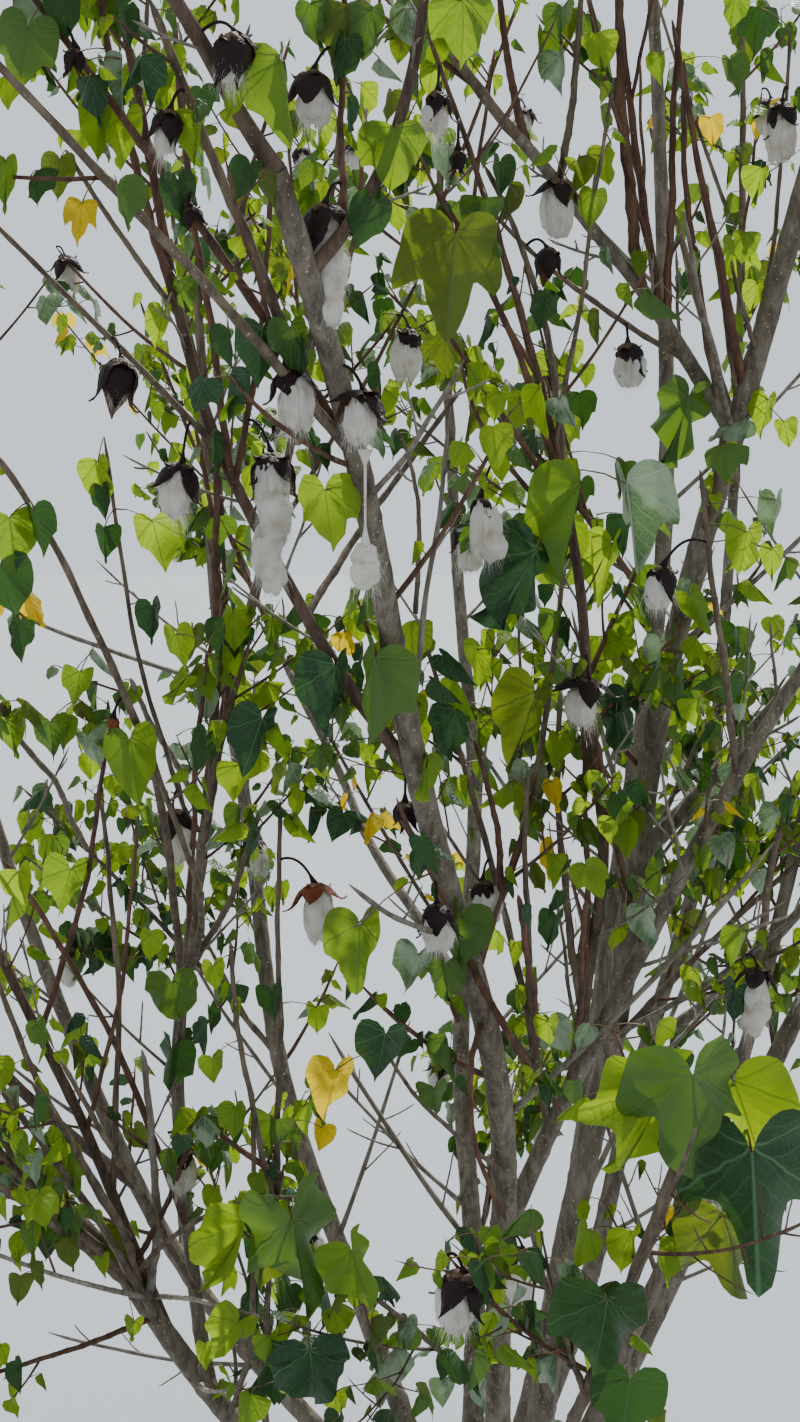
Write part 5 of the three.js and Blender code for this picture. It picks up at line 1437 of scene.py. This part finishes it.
def husk_material(name, dark, light):
    """Dry pod wall: leathery, pitted some 3 mm apart, dark with paler patches some 8 mm apart."""
    material = new_material(name)
    place = add_node(material, "TexCoord").outputs["Object"]
    tone = add_node(material, "TexNoise", {"Scale": 130, "Detail": 4}, Vector=place)
    pits = add_node(material, "TexVoronoi", {"Scale": 330}, Vector=place)
    colour = add_node(material, "Mix", {"data_type": "RGBA", 6: dark, 7: light}, _0=tone)
    relief = add_node(material, "Math", {"operation": "ADD"}, _0=tone, _1=pits)
    bump = add_node(material, "Bump", {"Strength": 0.8, "Distance": 0.001}, Height=relief)
    finish = {"Roughness": 0.6, "Specular IOR Level": 0.2}
    shader = add_node(material, "BsdfPrincipled", finish, Base_Color=colour, Normal=bump)
    return end_material(material, shader)


def husk_sheets(chosen, sheet, bend, depth=0):
    """Pointed sheets round the top of each chosen pod. In the plane of a sheet its midline sets out at
    the start angle below level, bends down to the bend over its first part, and hooks back by the curl
    over its last. Its edges bow inwards by EDGE_BOW times its half width times v squared, its points
    stray a little each way, and it lies inwards by the depth times 1 - v^4."""
    random = np.random.default_rng(sheet["seed"])
    count, start = sheet["count"], sheet["start"]
    shape = (boll_count, count, 1)
    u = np.linspace(0, 1, SHEET_STEPS)
    v = np.linspace(-1, 1, SHEET_STRIPS)
    scale = boll_size[:, None, None]
    end = bend[:, None, None] + random.uniform(*SHEET_VARIES["spread"], shape)
    curled = sheet["curl"] * random.uniform(*SHEET_VARIES["curl"], shape)
    angle = start + (end - start) * np.clip(u / BENDS_OVER, 0, 1)
    angle = angle - curled * np.clip((u - (1 - HOOKS_OVER)) / HOOKS_OVER, 0, 1)
    step = sheet["length"] * scale * random.uniform(*SHEET_VARIES["length"], shape) / len(u)
    out = np.cumsum(np.cos(angle) * step, axis=-1) - step
    fall = np.cumsum(np.sin(angle) * step, axis=-1)
    wide = np.interp(u, *sheet["widths"]) * sheet["half_width"] * scale
    turn = random.uniform(0, 6.28, (boll_count, 1)) + around(count)
    turn = turn + random.uniform(*SHEET_VARIES["spread"], shape[:2])
    ray = boll_side[:, None] * np.cos(turn)[..., None] + boll_front[:, None] * np.sin(turn)[..., None]
    across = np.cross(down[:, None], ray)
    inward = down[:, None, None] * np.cos(angle)[..., None] - ray[:, :, None] * np.sin(angle)[..., None]
    line = boll_top[:, None, None] + ray[:, :, None] * out[..., None] + down[:, None, None] * fall[..., None]
    edge = across[:, :, None, None] * (wide[..., None] * v)[..., None]
    bow = inward[:, :, :, None] * (EDGE_BOW * wide[..., None] * v**2 + depth * (1 - v**4))[..., None]
    torn = random.uniform(*SHEET_VARIES["torn"], (boll_count, count, len(u), len(v), 3))
    points = (line[:, :, :, None] + edge + bow + torn)[chosen]
    quads = grid_faces(len(u), len(v), flip=True)
    return points.reshape(-1, 3), [repeated(quads, chosen.sum() * count, len(u) * len(v))]


# The stalk of a pod rises from the twig in an arch, and widens to a cap over the pod. Its control point
# stands 0.6 of the way to the pod, and higher by 0.35 of that way and 8 mm.
POD_STALK_RINGS = 12
POD_STALK_SIDES = 6
POD_STALK_GIRTH = ((0, 0.1, 0.85, 1), (2.2, 1.5, 1.4, 4.5))
reach = np.linalg.norm(boll_top - boll_root, axis=-1, keepdims=True)
boll_bend = boll_root * 0.4 + boll_top * 0.6 + UP * (reach * 0.35 + 8)
pod_stalks = stalks((boll_root, boll_bend, boll_top), POD_STALK_GIRTH, POD_STALK_RINGS, POD_STALK_SIDES)
dark_husk = husk_material("dry_boll_valve", "#0b0406", "#2a1413")
rusty_husk = husk_material("rusty_boll_valve", "#4a1f10", "#844522")
husk_lining = husk_material("boll_valve_lining", "#2e1b14", "#6b4d38")
withered_bract = husk_material("withered_bract", "#221610", "#705840")
for name, shape, look in (
    ("boll_valves", husk_sheets(~boll_is_rusty, VALVES, valves_down), dark_husk),
    ("rusty_boll_valves", husk_sheets(boll_is_rusty, VALVES, valves_down), rusty_husk),
    ("boll_linings", husk_sheets(every_boll, VALVES, valves_down, VALVE_THICK), husk_lining),
    ("boll_bracts", husk_sheets(every_boll, BRACTS, valves_down * BRACTS_DOWN), withered_bract),
    ("boll_stalks", pod_stalks, dark_husk),
):
    add_piece(name, shape, look, shoot_names)


# Lint: fluffy white fibre, off-white in the shade of the husk. Each pod's lint is a clump of three
# locks, and where it has been drawn out, a string of puffs hangs below, each thinner than the last.
LOCKS = 3
LOCK_RADIUS = 11
LOCK_RING = 6
LOCK_LENGTH = 55
LOCK_HALF = 0.46
FULL_TUFT = 40
STRING_FROM = 46
PUFF_STEP = 8
PUFF_RADIUS = (16, 11)
PUFF_HALF = 15
PUFF_RINGS = 15
PUFF_SIDES = 22
LUMP = 0.09
FIBRES_PER_PUFF = 180
FIBRE_LENGTH = (4, 22)
FIBRE_WIDTH = 0.26
FIBRE_POINTS = 3
FIBRES_FROM = 0.95
# A thread of drawn lint that hangs from the first pod, and the two puffs at its end, in mm below its top,
# with their radius.
THREAD = (46, 90, 128)
THREAD_GIRTH = ((0, 0.15, 0.8, 1), (7, 1.3, 1.0, 5))
THREAD_RINGS = 14
THREAD_SIDES = 6
THREAD_PUFFS = ((138, 11), (153, 13))
# A puff is its centre, its radius and half its length. A lock's upper end is 7 mm below the pod's
# top, and up to 12 mm lower where it is small. The puffs of a string sway by 5 mm aside and 3 mm forth
# and back.
puffs = []
for i in np.flatnonzero(tuft > 0):
    lock_turn = 2 * np.pi * (np.arange(LOCKS) / LOCKS + chance(i, 1, 1))
    ring = boll_side[i] * np.cos(lock_turn)[:, None] + boll_front[i] * np.sin(lock_turn)[:, None]
    drop = min(tuft[i], LOCK_LENGTH) * LOCK_HALF
    share = min(1, tuft[i] / FULL_TUFT)
    locks = boll_top[i] + ring * LOCK_RING * share + down[i] * (drop + 7 + 12 * (1 - share))
    puffs += [(*centre, LOCK_RADIUS * share, drop) for centre in locks]
    extra = max(0, round((tuft[i] - LOCK_LENGTH - 3) / PUFF_STEP))
    for k in range(extra):
        sway = boll_side[i] * 5 * math.sin(0.7 * k + i) + boll_front[i] * 3 * math.cos(1.1 * k)
        centre = boll_top[i] + down[i] * STRING_FROM - UP * PUFF_STEP * (k + 0.3) + sway
        puffs.append((*centre, between(PUFF_RADIUS, (k + 0.5) / extra), PUFF_HALF))
puffs += [(*(boll_top[0] - UP * drop), radius, radius * 1.05) for drop, radius in THREAD_PUFFS]
puffs = np.array(puffs)
puff_at, puff_size = puffs[:, None, :3], puffs[:, None, [3, 3, 4]]


def fluff(directions):
    """Lumpy radius factor of puffs by direction: 1 plus seven sine waves, each finer than the last, and
    a third as quick up and down as round the puff, so that the lumps run down it."""
    random = np.random.default_rng(5)
    count = len(directions)
    total = 1.0
    for wave in range(7):
        way = random.normal(0, 1, (count, 1, 3)) * (1.8 + 1.7 * wave) * (1, 1, 0.35)
        phase = random.uniform(0, 6, (count, 1))
        total = total + LUMP / (1 + wave) ** 0.35 * np.sin((directions * way).sum(-1) + phase)
    return total[..., None]


polar = np.linspace(0, np.pi, PUFF_RINGS)[:, None]
turn = around(PUFF_SIDES)[None, :]
ball = np.stack([np.sin(polar) * np.cos(turn), np.sin(polar) * np.sin(turn), np.cos(polar) + 0 * turn], -1)
ball = ball.reshape(1, -1, 3).repeat(len(puffs), 0)
puff_points = (puff_at + ball * puff_size * fluff(ball)).reshape(-1, 3)
puff_faces = repeated(grid_faces(PUFF_RINGS, PUFF_SIDES, closed=True), len(puffs), PUFF_RINGS * PUFF_SIDES)
thread_route = [(boll_top[0] - UP * drop)[None] for drop in THREAD]
thread = stalks(thread_route, THREAD_GIRTH, THREAD_RINGS, THREAD_SIDES)

# A fibre is a ribbon that leaves its puff, drifts aside and sinks by the square of the way along it.
fibre_ways = unit(random.normal(0, 1, (len(puffs), FIBRES_PER_PUFF, 3)))
fibre_root = puff_at + fibre_ways * puff_size * FIBRES_FROM
fibre_long = random.uniform(*FIBRE_LENGTH, (len(puffs), FIBRES_PER_PUFF, 1))
fibre_drift = unit(fibre_ways + random.normal(0, 0.7, fibre_ways.shape))
fibre_t = np.linspace(0, 1, FIBRE_POINTS)[:, None]
fibre_heading = 0.5 * fibre_drift[:, :, None] - 0.6 * fibre_t * UP
fibre_line = fibre_root[:, :, None] + fibre_long[:, :, None] * fibre_t * fibre_heading
fibre_edge = unit(np.cross(fibre_drift, random.normal(0, 1, fibre_ways.shape)))[:, :, None]
fibre_side = fibre_edge * (FIBRE_WIDTH / 2 * (1 - 0.7 * fibre_t))
fibre_points = np.stack([fibre_line - fibre_side, fibre_line + fibre_side], axis=3).reshape(-1, 3)
fibre_faces = repeated(grid_faces(FIBRE_POINTS, 2), len(puffs) * FIBRES_PER_PUFF, 2 * FIBRE_POINTS)

# Cotton fibre: matt, white with cream patches some 13 mm apart, partly the fibre's own cream and partly
# painted shade for the hollows between its tufts, though a noise lays them, and with a soft glow of
# light that comes through. Its relief is combed lengthwise in strands 1.4 mm apart, far coarser than the
# real fibres, so that it shows.
lint = new_material("cotton_lint")
lint_place = add_node(lint, "TexCoord").outputs["Object"]
lint_noise = add_node(lint, "TexNoise", {"Scale": 75, "Detail": 4}, Vector=lint_place)
lint_combed = add_node(lint, "Mapping", {"Scale": (1, 1, 0.16)}, Vector=lint_place)
lint_fine = add_node(lint, "TexNoise", {"Scale": 700, "Detail": 4}, Vector=lint_combed)
lint_cream_and_painted_shade = add_node(lint, "ValToRGB", Fac=lint_noise)
for stop, position, colour in zip(lint_cream_and_painted_shade.color_ramp.elements, (0.32, 0.54), ("#dacebf", "#fbf8f2")):
    stop.position = position
    stop.color = linear(colour)
lint_bump = add_node(lint, "Bump", {"Strength": 1.0, "Distance": 0.003}, Height=lint_fine)
lint_finish = {"Roughness": 1.0, "Specular IOR Level": 0.1, "Sheen Weight": 0.4}
lint_face = add_node(lint, "BsdfPrincipled", lint_finish, Base_Color=lint_cream_and_painted_shade, Normal=lint_bump)
lint_glow = add_node(lint, "BsdfTranslucent", {"Color": "#f8f2e8"})
end_material(lint, add_node(lint, "MixShader", {0: 0.48}, _1=lint_face, _2=lint_glow))
add_piece("lint_locks", joined((puff_points, [puff_faces]), thread), lint, shoot_names)
add_piece("lint_fibres", (fibre_points, [fibre_faces]), lint, shoot_names)
